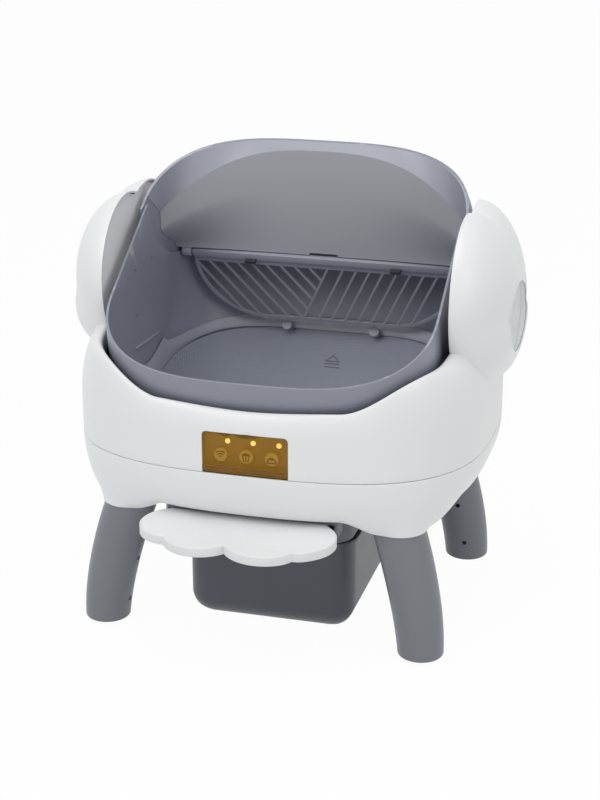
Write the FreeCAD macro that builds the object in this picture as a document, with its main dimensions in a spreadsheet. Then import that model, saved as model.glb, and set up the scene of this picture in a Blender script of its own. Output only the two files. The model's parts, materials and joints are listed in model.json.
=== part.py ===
import FreeCAD, Part
import math
import os
import re

import Sketcher

Vector = FreeCAD.Vector
Rotation = FreeCAD.Rotation

os.makedirs("parts", exist_ok=True)
document = FreeCAD.newDocument("LitterBox")
sheet = document.addObject("Spreadsheet::Sheet", "Sizes")

# Driving sizes in millimetres. Heights are above the floor. X is across, -Y is the front.
# Distances along Y are from the drum's axis, and each piece is then set back by axis_setback.
SIZES = {
    # Where the drum's axis lies
    "axis_height": 410.0,
    "axis_setback": 42.5,
    # Fixings and small allowances of the housing, the legs and the tread
    "saddle_toe_inset": 12.0,
    "saddle_rise_swell": 3.0,
    "saddle_crest_swell": 2.5,
    "saddle_crest_lap": 4.0,
    "shoulder_lap": 1.0,
    "pod_foot_sink": 8.0,
    "pod_edge": 0.8,
    "leg_root": 14.0,
    "leg_foot_round": 3.5,
    "leg_screw_length": 30.0,
    "leg_screw_depth": 12.0,
    "leg_screw_head": 4.0,
    "step_left_cusp_rise": 5.0,
    "step_second_less": 4.0,
    "step_right_tip_less": 2.0,
    "step_right_tip_forward": 8.0,
    "step_chamfer": 1.2,
    # Moulded walls and gaps
    "wall": 3.0,
    "seat_gap": 0.3,
    "drum_gap": 3.0,
    "hood_lap": 8.0,
    # Drum: a barrel with rounded ends
    "bowl_radius": 226.0,
    "bowl_shoulder_radius": 209.0,
    "bowl_half_length": 213.0,
    "end_round": 98.0,
    "mouth_height": 91.6,
    "mouth_slope": 0.62,
    # Hood: the upper rear of the drum, lapped over the bowl, with fuller corners
    "hood_proud": 3.5,
    "hood_shoulder_proud": 7.5,
    "hood_end_proud": 8.0,
    "hood_round_less": 7.0,
    "hood_wall": 3.2,
    "hood_seam_inset": 76.0,
    "hood_seam_centre_z": 145.0,
    "hood_seam_radius": 133.0,
    "liner_foot_gap": 2.0,
    "liner_wall": 2.5,
    "liner_notch_half_width": 20.0,
    "liner_notch_height": 3.0,
    "liner_lean": 0.091,
    "liner_dish": 37.0,
    "liner_end_inset": 23.0,
    "crease_top": 168.0,
    "crease_drop": 62.0,
    # Mat on the floor of the bowl
    "mat_thickness": 2.5,
    "mat_end_inset": 35.0,
    "mat_front_angle": 210.5,
    "mat_sweep_angle": 119.0,
    # Sieve
    "sieve_inset": 84.0,
    "sieve_top_z": 13.0,
    "sieve_lean_angle": 18.0,
    "sieve_drop": 104.0,
    "sieve_corner": 96.0,
    "sieve_end_inset": 25.0,
    "sieve_rim": 5.0,
    "sieve_rail_depth": 14.5,
    "sieve_thickness": 3.0,
    "sieve_pin_radius": 2.5,
    "sieve_pin_inset": 11.5,
    "rail_half_depth": 4.5,
    "bar_width": 3.2,
    "divider_x": 11.5,
    "divider_slope": 0.48,
    "right_bars": 8,
    "right_bar_pitch": 18.9,
    "left_bars": 9,
    "left_bar_x": -32.2,
    "left_bar_pitch": 20.7,
    "left_bar_slope": 0.77,
    "tab_x": 92.0,
    "tab_width": 7.0,
    "clip_x": 103.0,
    "clip_width": 15.0,
    "stop_x": 63.5,
    "stop_radius": 7.0,
    # Hubs and drive
    "hub_flange_radius": 52.0,
    "hub_flange_thickness": 4.0,
    "axle_radius": 36.0,
    "axle_bore_radius": 30.0,
    "hub_spare": 7.0,
    "running_clearance": 0.06,
    "bearing_thickness": 4.0,
    "gear_module": 2.5,
    "gear_teeth": 48,
    "pinion_teeth": 12,
    "gear_width": 8.0,
    "gear_gap": 7.0,
    "gear_backlash": 0.35,
    "pinion_angle": 50.0,
    "gearbox_radius": 20.0,
    "gearbox_length": 20.0,
    "motor_radius": 16.0,
    "motor_length": 24.0,
    "motor_shaft_radius": 3.0,
    # Base housing
    "base_half_width": 283.0,
    "base_half_depth": 232.0,
    "base_corner": 125.0,
    "front_crown": 1500.0,
    "side_crown": 900.0,
    "base_bottom": 192.0,
    "lower_rise": 58.0,
    "belly_rise": 50.0,
    "shoulder_rise": 140.0,
    "side_tuck": 46.0,
    "front_tuck": 15.0,
    "side_shoulder": 58.0,
    "front_shoulder": 46.0,
    # Saddle: the dip of the upper housing round the drum's mouth
    "saddle_rise": 77.0,
    "saddle_flat_half_width": 95.0,
    "saddle_kink_x": 180.0,
    "saddle_kink_rise": 125.0,
    "saddle_roll_depth": 15.0,
    "saddle_roll_height": 26.0,
    # Cradle and drop chute
    "chute_half_width": 114.0,
    "chute_front": 168.0,
    "chute_rear": 56.0,
    "chute_corner": 40.0,
    "chute_drop": 42.0,
    # Waste bin
    "bin_half_width": 117.0,
    "bin_front": 137.0,
    "bin_rear": 108.0,
    "bin_height": 130.0,
    "bin_lower_round": 36.0,
    "bin_corner": 30.0,
    "bin_wall": 2.5,
    "bin_rim": 4.0,
    # Step
    "step_drop": 7.0,
    "step_thickness": 12.0,
    "step_tongue_half_width": 106.0,
    "step_reach_out": 85.0,
    "step_cusp_out": 62.0,
    "step_left_cusp_x": 87.0,
    "step_middle_cusp_x": 8.0,
    "step_right_cusp_x": 80.0,
    "step_tip_x": 130.0,
    "step_tip_out": 22.0,
    "tongue_gap": 16.0,
    "sleeve_inset": 28.0,
    "sleeve_wall": 5.0,
    # Legs
    "leg_top_inset": 101.0,
    "leg_foot_inset": 73.0,
    "leg_front_inset": 74.0,
    "leg_rear_inset": 94.0,
    "leg_foot_splay_y": 12.0,
    "leg_top_radius": 36.5,
    "leg_foot_radius": 29.0,
    "socket_drop": 25.0,
    "leg_spigot_radius": 24.0,
    "leg_spigot_height": 14.0,
    "foot_height": 6.0,
    "foot_radius": 11.0,
    "socket_rim_radius": 39.0,
    "socket_root_radius": 60.0,
    "leg_screw_radius": 3.0,
    # Side pods
    "pod_overhang": 15.0,
    "pod_wall": 2.5,
    "pod_plate": 3.0,
    "lobe_radius": 100.0,
    "lobe_front_y": 15.0,
    "lobe_spacing": 75.0,
    "lobe_rise": 30.0,
    "pod_foot_radius": 129.0,
    "pod_foot_rise": 25.0,
    "hub_cap_radius": 45.0,
    "hub_cap_recess": 7.0,
    "hub_cap_wall": 2.5,
    "hub_boss_radius": 17.0,
    "hub_boss_rise": 3.0,
    "small_screw_radius": 1.5,
    "screw_head_radius": 3.2,
    "screw_head_height": 2.0,
    "hub_screw_ring": 44.0,
    # Control window
    "window_half_width": 54.4,
    "window_height": 54.0,
    "window_corner": 6.0,
    "cover_gap": 0.4,
    "cover_thickness": 2.0,
    "cover_barrel_radius": 2.0,
    "cover_hinge_rise": 2.8,
    "cover_hinge_depth": 2.6,
    "cover_pin_radius": 1.0,
    "cover_pin_length": 3.0,
    "scoop_x": 26.0,
    "scoop_radius": 14.0,
    "scoop_depth": 4.0,
    "tray_wall": 2.0,
    "fascia_depth": 11.0,
    "fascia_thickness": 2.0,
    "button_radius": 8.7,
    "button_spacing": 32.6,
    "button_level": 23.0,
    "button_rise": 5.0,
    "button_length": 9.0,
    "button_travel": 1.5,
    "led_radius": 3.2,
    "led_offset_x": 8.2,
    "led_level": 40.3,
    "board_thickness": 1.6,
    "board_standoff": 6.0,
    "board_margin": 4.0,
    # Rear socket for the mains adapter
    "inlet_rise": 30.0,
    "inlet_x": 60.0,
    "inlet_radius": 9.0,
    "inlet_bore_radius": 2.9,
    "inlet_depth": 12.0,
}

# Places and sizes that follow from the driving sizes, so that fitted pieces stay fitted
DERIVED = {
    "hood_radius": "bowl_radius + hood_proud",
    "hood_shoulder_radius": "bowl_shoulder_radius + hood_shoulder_proud",
    "hood_half_length": "bowl_half_length + hood_end_proud",
    "hood_end_round": "end_round - hood_round_less",
    "hood_seam_centre_y": "bowl_radius - hood_seam_inset",
    "sieve_top_y": "bowl_radius - sieve_inset",
    "sieve_half_width": "bowl_half_length - sieve_end_inset",
    "sieve_pin_reach": "bowl_half_length - sieve_pin_inset",
    "liner_foot_y": "bowl_radius - sieve_inset",
    "liner_foot_z": "sieve_top_z + rail_half_depth + liner_foot_gap",
    "liner_half_width": "bowl_half_length - liner_end_inset",
    "mat_half_length": "bowl_half_length - mat_end_inset",
    "seam_height": "base_bottom + lower_rise",
    "belly_height": "seam_height + belly_rise",
    "shoulder_top": "seam_height + shoulder_rise",
    "saddle_height": "seam_height + saddle_rise",
    "saddle_kink_height": "seam_height + saddle_kink_rise",
    "chute_bottom": "base_bottom - chute_drop",
    "step_top": "base_bottom - step_drop",
    "step_reach": "base_half_depth + step_reach_out",
    "step_cusp_depth": "base_half_depth + step_cusp_out",
    "step_tip_y": "base_half_depth + step_tip_out",
    "step_tongue_rear": "chute_front + tongue_gap",
    "sleeve_front": "base_half_depth - sleeve_inset",
    "leg_top_x": "base_half_width - leg_top_inset",
    "leg_foot_x": "base_half_width - leg_foot_inset",
    "leg_front_y": "base_half_depth - leg_front_inset",
    "leg_rear_y": "base_half_depth - leg_rear_inset",
    "leg_top": "base_bottom - socket_drop",
    "pod_inner_x": "hood_half_length + drum_gap",
    "pod_outer_x": "base_half_width + pod_overhang",
    "gear_inner_x": "pod_inner_x + gear_gap",
    "axle_end_x": "gear_inner_x + gear_width + hub_spare",
    "lobe_height": "axis_height + lobe_rise",
    "pod_foot_height": "axis_height + pod_foot_rise",
    "window_top": "seam_height + window_height",
    "button_height": "seam_height + button_level",
    "led_height": "seam_height + led_level",
    "inlet_height": "base_bottom + inlet_rise",
}

for row, (alias, value) in enumerate(SIZES.items(), 1):
    sheet.set(f"A{row}", alias)
    sheet.set(f"B{row}", repr(value))
    sheet.setAlias(f"B{row}", alias)
document.recompute()

ALIAS = re.compile(r"\b(" + "|".join(sorted(SIZES, key=len, reverse=True)) + r")\b")
FOLLOWER = re.compile(r"\b(" + "|".join(sorted(DERIVED, key=len, reverse=True)) + r")\b")
AXES = {"X": Vector(1, 0, 0), "Y": Vector(0, 1, 0), "Z": Vector(0, 0, 1)}
NODES = []


def linked(text):
    """The expression with each size's name made a reference to its cell."""
    text = str(text)
    while FOLLOWER.search(text):
        text = FOLLOWER.sub(lambda found: f"({DERIVED[found.group(1)]})", text)
    return ALIAS.sub(r"Sizes.\1", text)


def number(text):
    """What an expression comes to with the sheet's present values."""
    if isinstance(text, (int, float)):
        return float(text)
    return float(sheet.evalExpression(linked(text)))


def size(alias):
    """One size, as the sheet holds it or as it follows from the sheet."""
    return number(alias) if alias in DERIVED else float(getattr(sheet, alias))


def bind(item, properties):
    """Tie properties of an object to expressions in the sheet's sizes."""
    for name, text in properties.items():
        item.setExpression(name, linked(text))
    return item


def put(item, corner, rotation=None):
    """Place an object at a point given by three expressions."""
    if rotation is not None:
        item.Placement = FreeCAD.Placement(Vector(), rotation)
    return bind(item, {f"Placement.Base.{axis}": text for axis, text in zip("xyz", corner)})


def block(name, corner, lengths):
    """A box from its low corner and its three lengths."""
    item = document.addObject("Part::Box", name)
    bind(item, dict(zip(("Length", "Width", "Height"), lengths)))
    return put(item, corner)


def rod(name, radius, length, start, axis="X"):
    """A round bar that runs from start along an axis."""
    item = document.addObject("Part::Cylinder", name)
    bind(item, {"Radius": radius, "Height": length})
    return put(item, start, Rotation(AXES["Z"], AXES[axis]))


def formed(name, shape):
    """A piece whose shape is worked out below from the sheet's sizes."""
    item = document.addObject("Part::Feature", name)
    item.Shape = shape
    return item


def cut(name, base, tool):
    """What is left of base once tool is taken out of it."""
    item = document.addObject("Part::Cut", name)
    item.Base = base
    item.Tool = tool
    return item


def fuse(name, *pieces):
    """Several objects made one."""
    item = document.addObject("Part::MultiFuse", name)
    item.Shapes = list(pieces)
    return item


def group(name, *pieces):
    """Several solids of one kind, kept apart in one piece."""
    item = document.addObject("Part::Compound", name)
    item.Links = list(pieces)
    return item


def node(name, item):
    """Name a finished piece and set it back to its place over the floor."""
    item.Label = name
    base = item.Placement.Base.y
    expression = dict(item.ExpressionEngine).get(".Placement.Base.y") or dict(item.ExpressionEngine).get(
        "Placement.Base.y"
    )
    if expression is None:
        item.setExpression("Placement.Base.y", f"Sizes.axis_setback + {base}")
    else:
        item.setExpression("Placement.Base.y", f"Sizes.axis_setback + ({expression})")
    NODES.append(item)
    return item


# Sketches


def origin_plane(body, role):
    """One of a body's own origin planes."""
    return next(plane for plane in body.Origin.OriginFeatures if plane.Role == role)


def sketch_in(body, role, offset=None):
    """An empty sketch on an origin plane of its body, moved along the plane's normal."""
    sketch = body.newObject("Sketcher::SketchObject", body.Name + "Sketch")
    sketch.AttachmentSupport = [(origin_plane(body, role), "")]
    sketch.MapMode = "FlatFace"
    if offset is not None:
        bind(sketch, {"AttachmentOffset.Base.z": offset})
    return sketch


def hold(sketch, kind, geometry, point, text):
    """Keep one coordinate of a sketch point at an expression."""
    index = sketch.addConstraint(Sketcher.Constraint(kind, -1, 1, geometry, point, number(text)))
    sketch.setExpression(f"Constraints[{index}]", linked(text))


def outline(sketch, points):
    """A closed outline of straight lines whose corners are at pairs of expressions."""
    first = sketch.GeometryCount
    spots = [Vector(number(x), number(y), 0) for x, y in points]
    count = len(spots)
    for index in range(count):
        sketch.addGeometry(Part.LineSegment(spots[index], spots[(index + 1) % count]), False)
    for index in range(count):
        after = first + (index + 1) % count
        sketch.addConstraint(Sketcher.Constraint("Coincident", first + index, 2, after, 1))
    for index, (x, y) in enumerate(points):
        hold(sketch, "DistanceX", first + index, 1, x)
        hold(sketch, "DistanceY", first + index, 1, y)
    return sketch


def circle(sketch, centre, radius):
    """A circle whose centre and radius are held by expressions."""
    x, y = centre
    ring = Part.Circle(Vector(number(x), number(y), 0), Vector(0, 0, 1), number(radius))
    index = sketch.addGeometry(ring, False)
    hold(sketch, "DistanceX", index, 3, x)
    hold(sketch, "DistanceY", index, 3, y)
    bound = sketch.addConstraint(Sketcher.Constraint("Radius", index, number(radius)))
    sketch.setExpression(f"Constraints[{bound}]", linked(radius))
    return sketch


def new_body(name):
    """An empty PartDesign body."""
    return document.addObject("PartDesign::Body", name)


def pad(body, sketch, length, both_ways=False):
    """Raise a sketch to a solid."""
    feature = body.newObject("PartDesign::Pad", body.Name + "Pad")
    feature.Profile = sketch
    feature.Midplane = both_ways
    return bind(feature, {"Length": length})


def pocket(body, sketch, length, reverse=False, both_ways=False):
    """Sink a sketch into a body's solid."""
    feature = body.newObject("PartDesign::Pocket", body.Name + "Pocket")
    feature.Profile = sketch
    feature.Reversed = reverse
    feature.Midplane = both_ways
    return bind(feature, {"Length": length})


def turned(name, points, angle=360.0):
    """A body turned about its own X axis from an outline of (x, radius) corners."""
    body = new_body(name)
    sketch = outline(sketch_in(body, "XZ_Plane"), points)
    feature = body.newObject("PartDesign::Revolution", name + "Turn")
    feature.Profile = sketch
    feature.ReferenceAxis = (sketch, ["H_Axis"])
    feature.Angle = angle
    return body


def on_axis(body):
    """Move a body that was turned about X up to the drum's axis."""
    return bind(body, {"Placement.Base.z": "axis_height"})


# Forms that the housings share

ROUND_STEPS = 5
SHOULDER_STEPS = 5
# How steeply and how far the housing's rounded outlines are drawn in
SHOULDER_SWEEP = math.radians(84.0)
FIRST_LEVEL = 0.35
CORNER_DRAW = 0.6
ROLL_STEP = math.radians(28.0)
ROLL_DROP = 2.2
# Where the saddle's rise bends, as shares of its run and of its height
TOE_SHARE = 0.45
TOE_HEIGHT = 0.17
BEND_SHARE = 0.55
BEND_HEIGHT = 0.42
# The pod's outline: where a lobe ends, its middle, and where the foot is fullest
LOBE_END = math.radians(205.0)
LOBE_CROWN = math.radians(135.0)
FOOT_SIDE = math.radians(238.0)
FOOT_SWELL = 1.02
# The pod's dome: the turns at which outlines are laid, how round it is, and how far it draws in
DOME_TURNS = (0.0, 24.0, 42.0, 58.0, 72.0, 84.0)
DOME_ROUND = 0.9
DOME_DRAW = 0.58
DOME_FLAT = 0.60
# The leg's rings: share of its height, and share of the way from its foot's radius to its top's
LEG_RINGS = ((0.035, 0.0), (0.3, 0.62), (0.62, 1.0), (1.0, 1.0))
LEG_BOW = 1.6
# The liner's strips, as shares of its half width, and how its crease falls away
LINER_STATIONS = (0.0, 0.3, 0.5, 0.65, 0.76, 0.86, 0.93)
CREASE_POWER = 2.7
DISH_POWER = 3
# How far a cutting form goes past what it cuts
FAR = 450.0
BEYOND = 20.0
OVER = 60.0
# An edge whose direction has a share above this along an axis runs along it
STRAIGHT = 0.9


def barrel_profile(form, grow):
    """Corners (x, radius) of half the outline of the bowl or the hood, moved outwards by grow."""
    end = size("hood_end_round") if form == "hood" else size("end_round")
    shoulder = size(f"{form}_shoulder_radius")
    centre_x = size(f"{form}_half_length") - end
    centre_radius = shoulder - end
    crown = size(f"{form}_radius") - shoulder
    half = centre_x / 2
    corners = [(0.0, size(f"{form}_radius") + grow), (half, size(f"{form}_radius") - crown / 4 + grow)]
    for step in range(ROUND_STEPS + 1):
        angle = math.radians(90.0 - 90.0 * step / ROUND_STEPS)
        reach = end + grow
        corners.append((centre_x + reach * math.cos(angle), centre_radius + reach * math.sin(angle)))
    return corners


def barrel(form, grow):
    """The bowl's or the hood's outline turned to a closed solid about the drum's axis."""
    corners = barrel_profile(form, grow)
    right = [Vector(x, 0, radius) for x, radius in corners]
    left = [Vector(-x, 0, radius) for x, radius in reversed(corners[1:])]
    end = corners[-1][0]
    ring = [Vector(-end, 0, 0)] + left + right + [Vector(end, 0, 0)]
    face = Part.Face(Part.makePolygon(ring + ring[:1]))
    solid = face.revolve(Vector(0, 0, 0), Vector(1, 0, 0), 360)
    solid.translate(Vector(0, 0, size("axis_height")))
    return solid


def across(points, half_width):
    """A side-view outline about the drum's axis, carried across in X.

    Each item is a (y, z) corner, or an arc's middle and end points as a pair of such corners.
    """
    height = size("axis_height")

    def at(corner):
        return Vector(-half_width, corner[0], corner[1] + height)

    edges = []
    start = at(points[0])
    for item in points[1:] + points[:1]:
        if isinstance(item[0], tuple):
            middle, end = at(item[0]), at(item[1])
            edges.append(Part.Arc(start, middle, end).toShape())
        else:
            end = at(item)
            edges.append(Part.LineSegment(start, end).toShape())
        start = end
    return Part.Face(Part.Wire(edges)).extrude(Vector(2 * half_width, 0, 0))


def mouth_line(y):
    """Height of the drum's mouth over its axis."""
    return size("mouth_height") + size("mouth_slope") * y


def hood_region(shift):
    """The space that the hood takes in side view, with its seam moved outwards by shift."""
    centre_y = size("hood_seam_centre_y")
    centre_z = size("hood_seam_centre_z")
    radius = size("hood_seam_radius") + shift
    # The seam meets the mouth where the circle crosses the mouth's line.
    slope = size("mouth_slope")
    offset = size("mouth_height") - centre_z + slope * centre_y
    a = 1 + slope * slope
    b = 2 * slope * offset
    c = offset * offset - radius * radius
    start_y = centre_y + (-b - math.sqrt(b * b - 4 * a * c)) / (2 * a)
    start = (start_y, mouth_line(start_y))
    start_angle = math.atan2(start[1] - centre_z, start[0] - centre_y) % (2 * math.pi)
    middle_angle = (start_angle + 1.5 * math.pi) / 2
    middle = (centre_y + radius * math.cos(middle_angle), centre_z + radius * math.sin(middle_angle))
    low = (centre_y, centre_z - radius)
    top = (FAR, mouth_line(FAR))
    return across([start, (middle, low), (FAR, low[1]), top], FAR)


def below_mouth():
    """All that lies under the plane of the drum's mouth."""
    return across([(-FAR, mouth_line(-FAR)), (-FAR, -FAR), (FAR, -FAR), (FAR, mouth_line(FAR))], FAR)


def plan_wire(half_width, half_depth, corner, z):
    """A rounded rectangle with crowned sides, as eight arcs that meet smoothly."""
    front = (0.0, half_depth - size("front_crown"))
    side = (half_width - size("side_crown"), 0.0)
    front_reach = size("front_crown") - corner
    side_reach = size("side_crown") - corner
    apart = math.hypot(side[0] - front[0], side[1] - front[1])
    along = (front_reach**2 - side_reach**2 + apart**2) / (2 * apart)
    off = math.sqrt(front_reach**2 - along**2)
    ux = (side[0] - front[0]) / apart
    uy = (side[1] - front[1]) / apart
    centre = max(
        (front[0] + ux * along - uy * off, front[1] + uy * along + ux * off),
        (front[0] + ux * along + uy * off, front[1] + uy * along - ux * off),
    )

    def beyond(origin):
        reach = math.hypot(centre[0] - origin[0], centre[1] - origin[1])
        return (
            centre[0] + (centre[0] - origin[0]) / reach * corner,
            centre[1] + (centre[1] - origin[1]) / reach * corner,
        )

    high = beyond(front)
    low = beyond(side)
    angle = math.atan2((high[1] + low[1]) / 2 - centre[1], (high[0] + low[0]) / 2 - centre[0])
    middle = (centre[0] + corner * math.cos(angle), centre[1] + corner * math.sin(angle))

    def at(point, sign_x, sign_y):
        return Vector(point[0] * sign_x, point[1] * sign_y, z)

    right = (half_width, 0.0)
    top = (0.0, half_depth)
    arcs = [
        (at(low, 1, -1), at(right, 1, 1), at(low, 1, 1)),
        (at(low, 1, 1), at(middle, 1, 1), at(high, 1, 1)),
        (at(high, 1, 1), at(top, 1, 1), at(high, -1, 1)),
        (at(high, -1, 1), at(middle, -1, 1), at(low, -1, 1)),
        (at(low, -1, 1), at(right, -1, 1), at(low, -1, -1)),
        (at(low, -1, -1), at(middle, -1, -1), at(high, -1, -1)),
        (at(high, -1, -1), at(top, -1, -1), at(high, 1, -1)),
        (at(high, 1, -1), at(middle, 1, -1), at(low, 1, -1)),
    ]
    return Part.Wire([Part.Arc(*points).toShape() for points in arcs])


def base_level(side, front, z, inset):
    """The base's outline at one height: side and front are how far it has drawn in there."""
    half_width = size("base_half_width") - side - inset
    half_depth = size("base_half_depth") - front - inset
    corner = size("base_corner") - min(side, front) * CORNER_DRAW - inset
    return plan_wire(half_width, half_depth, corner, z)


def lower_levels(inset, bottom):
    """Outlines of the lower housing from its underside up to the seam."""
    levels = []
    rise = size("seam_height") - bottom
    for step in range(SHOULDER_STEPS):
        angle = math.pi / 2 * (step + FIRST_LEVEL) / (SHOULDER_STEPS - 1 + FIRST_LEVEL)
        angle = min(angle, math.pi / 2)
        draw = 1 - math.sin(angle)
        z = size("seam_height") - rise * math.cos(angle)
        levels.append((size("side_tuck") * draw, size("front_tuck") * draw, z))
    levels[0] = (levels[0][0], levels[0][1], bottom)
    return [base_level(side, front, z, inset) for side, front, z in levels]


def upper_levels(inset, top):
    """Outlines of the upper housing from the seam up to the top of its shoulders."""
    levels = [(0.0, 0.0, size("seam_height")), (0.0, 0.0, size("belly_height"))]
    rise = top - size("belly_height")
    for step in range(1, SHOULDER_STEPS + 1):
        angle = SHOULDER_SWEEP * step / SHOULDER_STEPS
        draw = 1 - math.cos(angle)
        z = size("belly_height") + rise * math.sin(angle) / math.sin(SHOULDER_SWEEP)
        levels.append((size("side_shoulder") * draw, size("front_shoulder") * draw, z))
    return [base_level(side, front, z, inset) for side, front, z in levels]


def stack(wires):
    """A solid through a stack of outlines, straight from each to the next."""
    return Part.makeLoft(wires, True, True)


def between(first, last, share):
    """The value that lies a share of the way from the first to the last."""
    return first + (last - first) * share


def saddle_tool(lift):
    """What is cut away over the saddle, with its floor raised by lift and rolled down at both faces."""
    flat = size("saddle_flat_half_width")
    kink = size("saddle_kink_x")
    low = size("saddle_height")
    high = size("saddle_kink_height")
    top = size("shoulder_top") + size("shoulder_lap")
    edge = size("pod_inner_x")
    toe = between(flat, kink, TOE_SHARE) - size("saddle_toe_inset")
    beyond = size("base_half_depth") + BEYOND
    over = top + OVER

    def profile(y, drop):
        def at(x, z):
            return Vector(x, y, z + lift - drop)

        half = [
            (at(flat, low), at(toe, between(low, high, TOE_HEIGHT))),
            (at(between(flat, kink, BEND_SHARE), between(low, high, BEND_HEIGHT)), None),
            (at(kink, high), at((kink + edge) / 2, (high + top) / 2 + size("saddle_crest_swell"))),
            (at(edge + size("saddle_crest_lap"), top), None),
        ]
        edges = []

        def side(sign):
            def m(v):
                return Vector(sign * v.x, v.y, v.z)

            bend_low = m(half[0][0])
            bend_mid = m(half[0][1])
            bend_high = m(half[1][0])
            crest = m(half[2][0])
            crest_mid = m(half[2][1])
            end = m(half[3][0])
            rise_x = between(bend_high.x, crest.x, BEND_SHARE)
            rise_z = between(bend_high.z, crest.z, BEND_SHARE) + size("saddle_rise_swell")
            rise_mid = Vector(rise_x, y, rise_z)
            corner = Vector(end.x, y, over)
            return [
                (bend_low, bend_mid, bend_high),
                (bend_high, rise_mid, crest),
                (crest, crest_mid, end),
                (end, None, corner),
            ]

        right = side(1)
        left = side(-1)
        start = left[0][0]
        edges.append(Part.LineSegment(start, right[0][0]).toShape())
        for first, middle, last in right:
            if middle is None:
                edges.append(Part.LineSegment(first, last).toShape())
            else:
                edges.append(Part.Arc(first, middle, last).toShape())
        edges.append(Part.LineSegment(right[-1][2], left[-1][2]).toShape())
        for first, middle, last in reversed(left):
            if middle is None:
                edges.append(Part.LineSegment(last, first).toShape())
            else:
                edges.append(Part.Arc(last, middle, first).toShape())
        return Part.Wire(edges)

    depth = size("saddle_roll_depth")
    height = size("saddle_roll_height")
    face = size("base_half_depth")
    stations = [(face - depth, 0.0)]
    for step in range(1, 4):
        angle = ROLL_STEP * step
        stations.append((face - depth + depth * math.sin(angle), height * (1 - math.cos(angle))))
    stations.append((beyond, height * ROLL_DROP))
    ladder = [(-y, drop) for y, drop in reversed(stations)] + stations
    return stack([profile(y, drop) for y, drop in ladder])


def chute_solid(inset, bottom, top):
    """The drop chute's rounded tube, drawn in by inset."""
    x = size("chute_half_width") - inset
    front = -size("chute_front") + inset
    rear = size("chute_rear") - inset
    tube = Part.makeBox(2 * x, rear - front, top - bottom, Vector(-x, front, bottom))
    uprights = [edge for edge in tube.Edges if abs(edge.tangentAt(edge.FirstParameter).z) > STRAIGHT]
    return tube.makeFillet(size("chute_corner") - inset, uprights)


def pod_wire(x, shrink, sink):
    """A pod's outline in side view: two lobes above, one wide round foot below."""
    radius = size("lobe_radius") - shrink
    front = -size("lobe_front_y")
    rear = front + size("lobe_spacing")
    height = size("lobe_height")
    middle = (front + rear) / 2
    notch = height + math.sqrt(radius**2 - (middle - front) ** 2)
    foot_radius = size("pod_foot_radius") - shrink + sink
    foot_height = size("pod_foot_height")
    join = (front + radius * math.cos(LOBE_END), height + radius * math.sin(LOBE_END))
    crown = (front + radius * math.cos(LOBE_CROWN), height + radius * math.sin(LOBE_CROWN))
    foot = (middle, foot_height - foot_radius)
    swell = foot_radius * FOOT_SWELL
    side = (middle + swell * math.cos(FOOT_SIDE), foot_height + swell * math.sin(FOOT_SIDE))

    def at(point, mirrored=False):
        y = 2 * middle - point[0] if mirrored else point[0]
        return Vector(x, y, point[1])

    top = (middle, notch)
    return Part.Wire(
        [
            Part.Arc(at(top), at(crown), at(join)).toShape(),
            Part.Arc(at(join), at(side), at(foot)).toShape(),
            Part.Arc(at(foot), at(side, True), at(join, True)).toShape(),
            Part.Arc(at(join, True), at(crown, True), at(top)).toShape(),
        ]
    )


def pod_dome(inset):
    """The pod's domed solid, drawn in by inset: flat inside, rounded over outside."""
    near = size("pod_inner_x")
    far = size("pod_outer_x") - inset
    rise = far - near
    wires = []
    for turn in DOME_TURNS:
        angle = math.radians(turn)
        x = near + rise * math.sin(angle) ** DOME_ROUND
        shrink = size("lobe_radius") * DOME_DRAW * (1 - math.cos(angle) ** DOME_ROUND) + inset
        wires.append(pod_wire(x, shrink, size("pod_foot_sink") * math.sin(angle)))
    wires.append(pod_wire(far, size("lobe_radius") * DOME_FLAT + inset, size("pod_foot_sink") / 2))
    return stack(wires)


def mirrored(shape):
    """The same form on the other side of the object."""
    return shape.mirror(Vector(0, 0, 0), Vector(1, 0, 0))


# Base housing, cradle and chute

WALL = size("wall")
SEAM = size("seam_height")
CAVITY_GROW = size("drum_gap")
CORNERS = [(side, depth) for depth in ("front", "rear") for side in ("left", "right")]
SIGN = {"left": -1, "right": 1}
SCREW_TURNS = (45, 135, 225, 315)


def leg_y(depth):
    """How far a leg's top lies behind the drum's axis."""
    return -size("leg_front_y") if depth == "front" else size("leg_rear_y")


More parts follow.
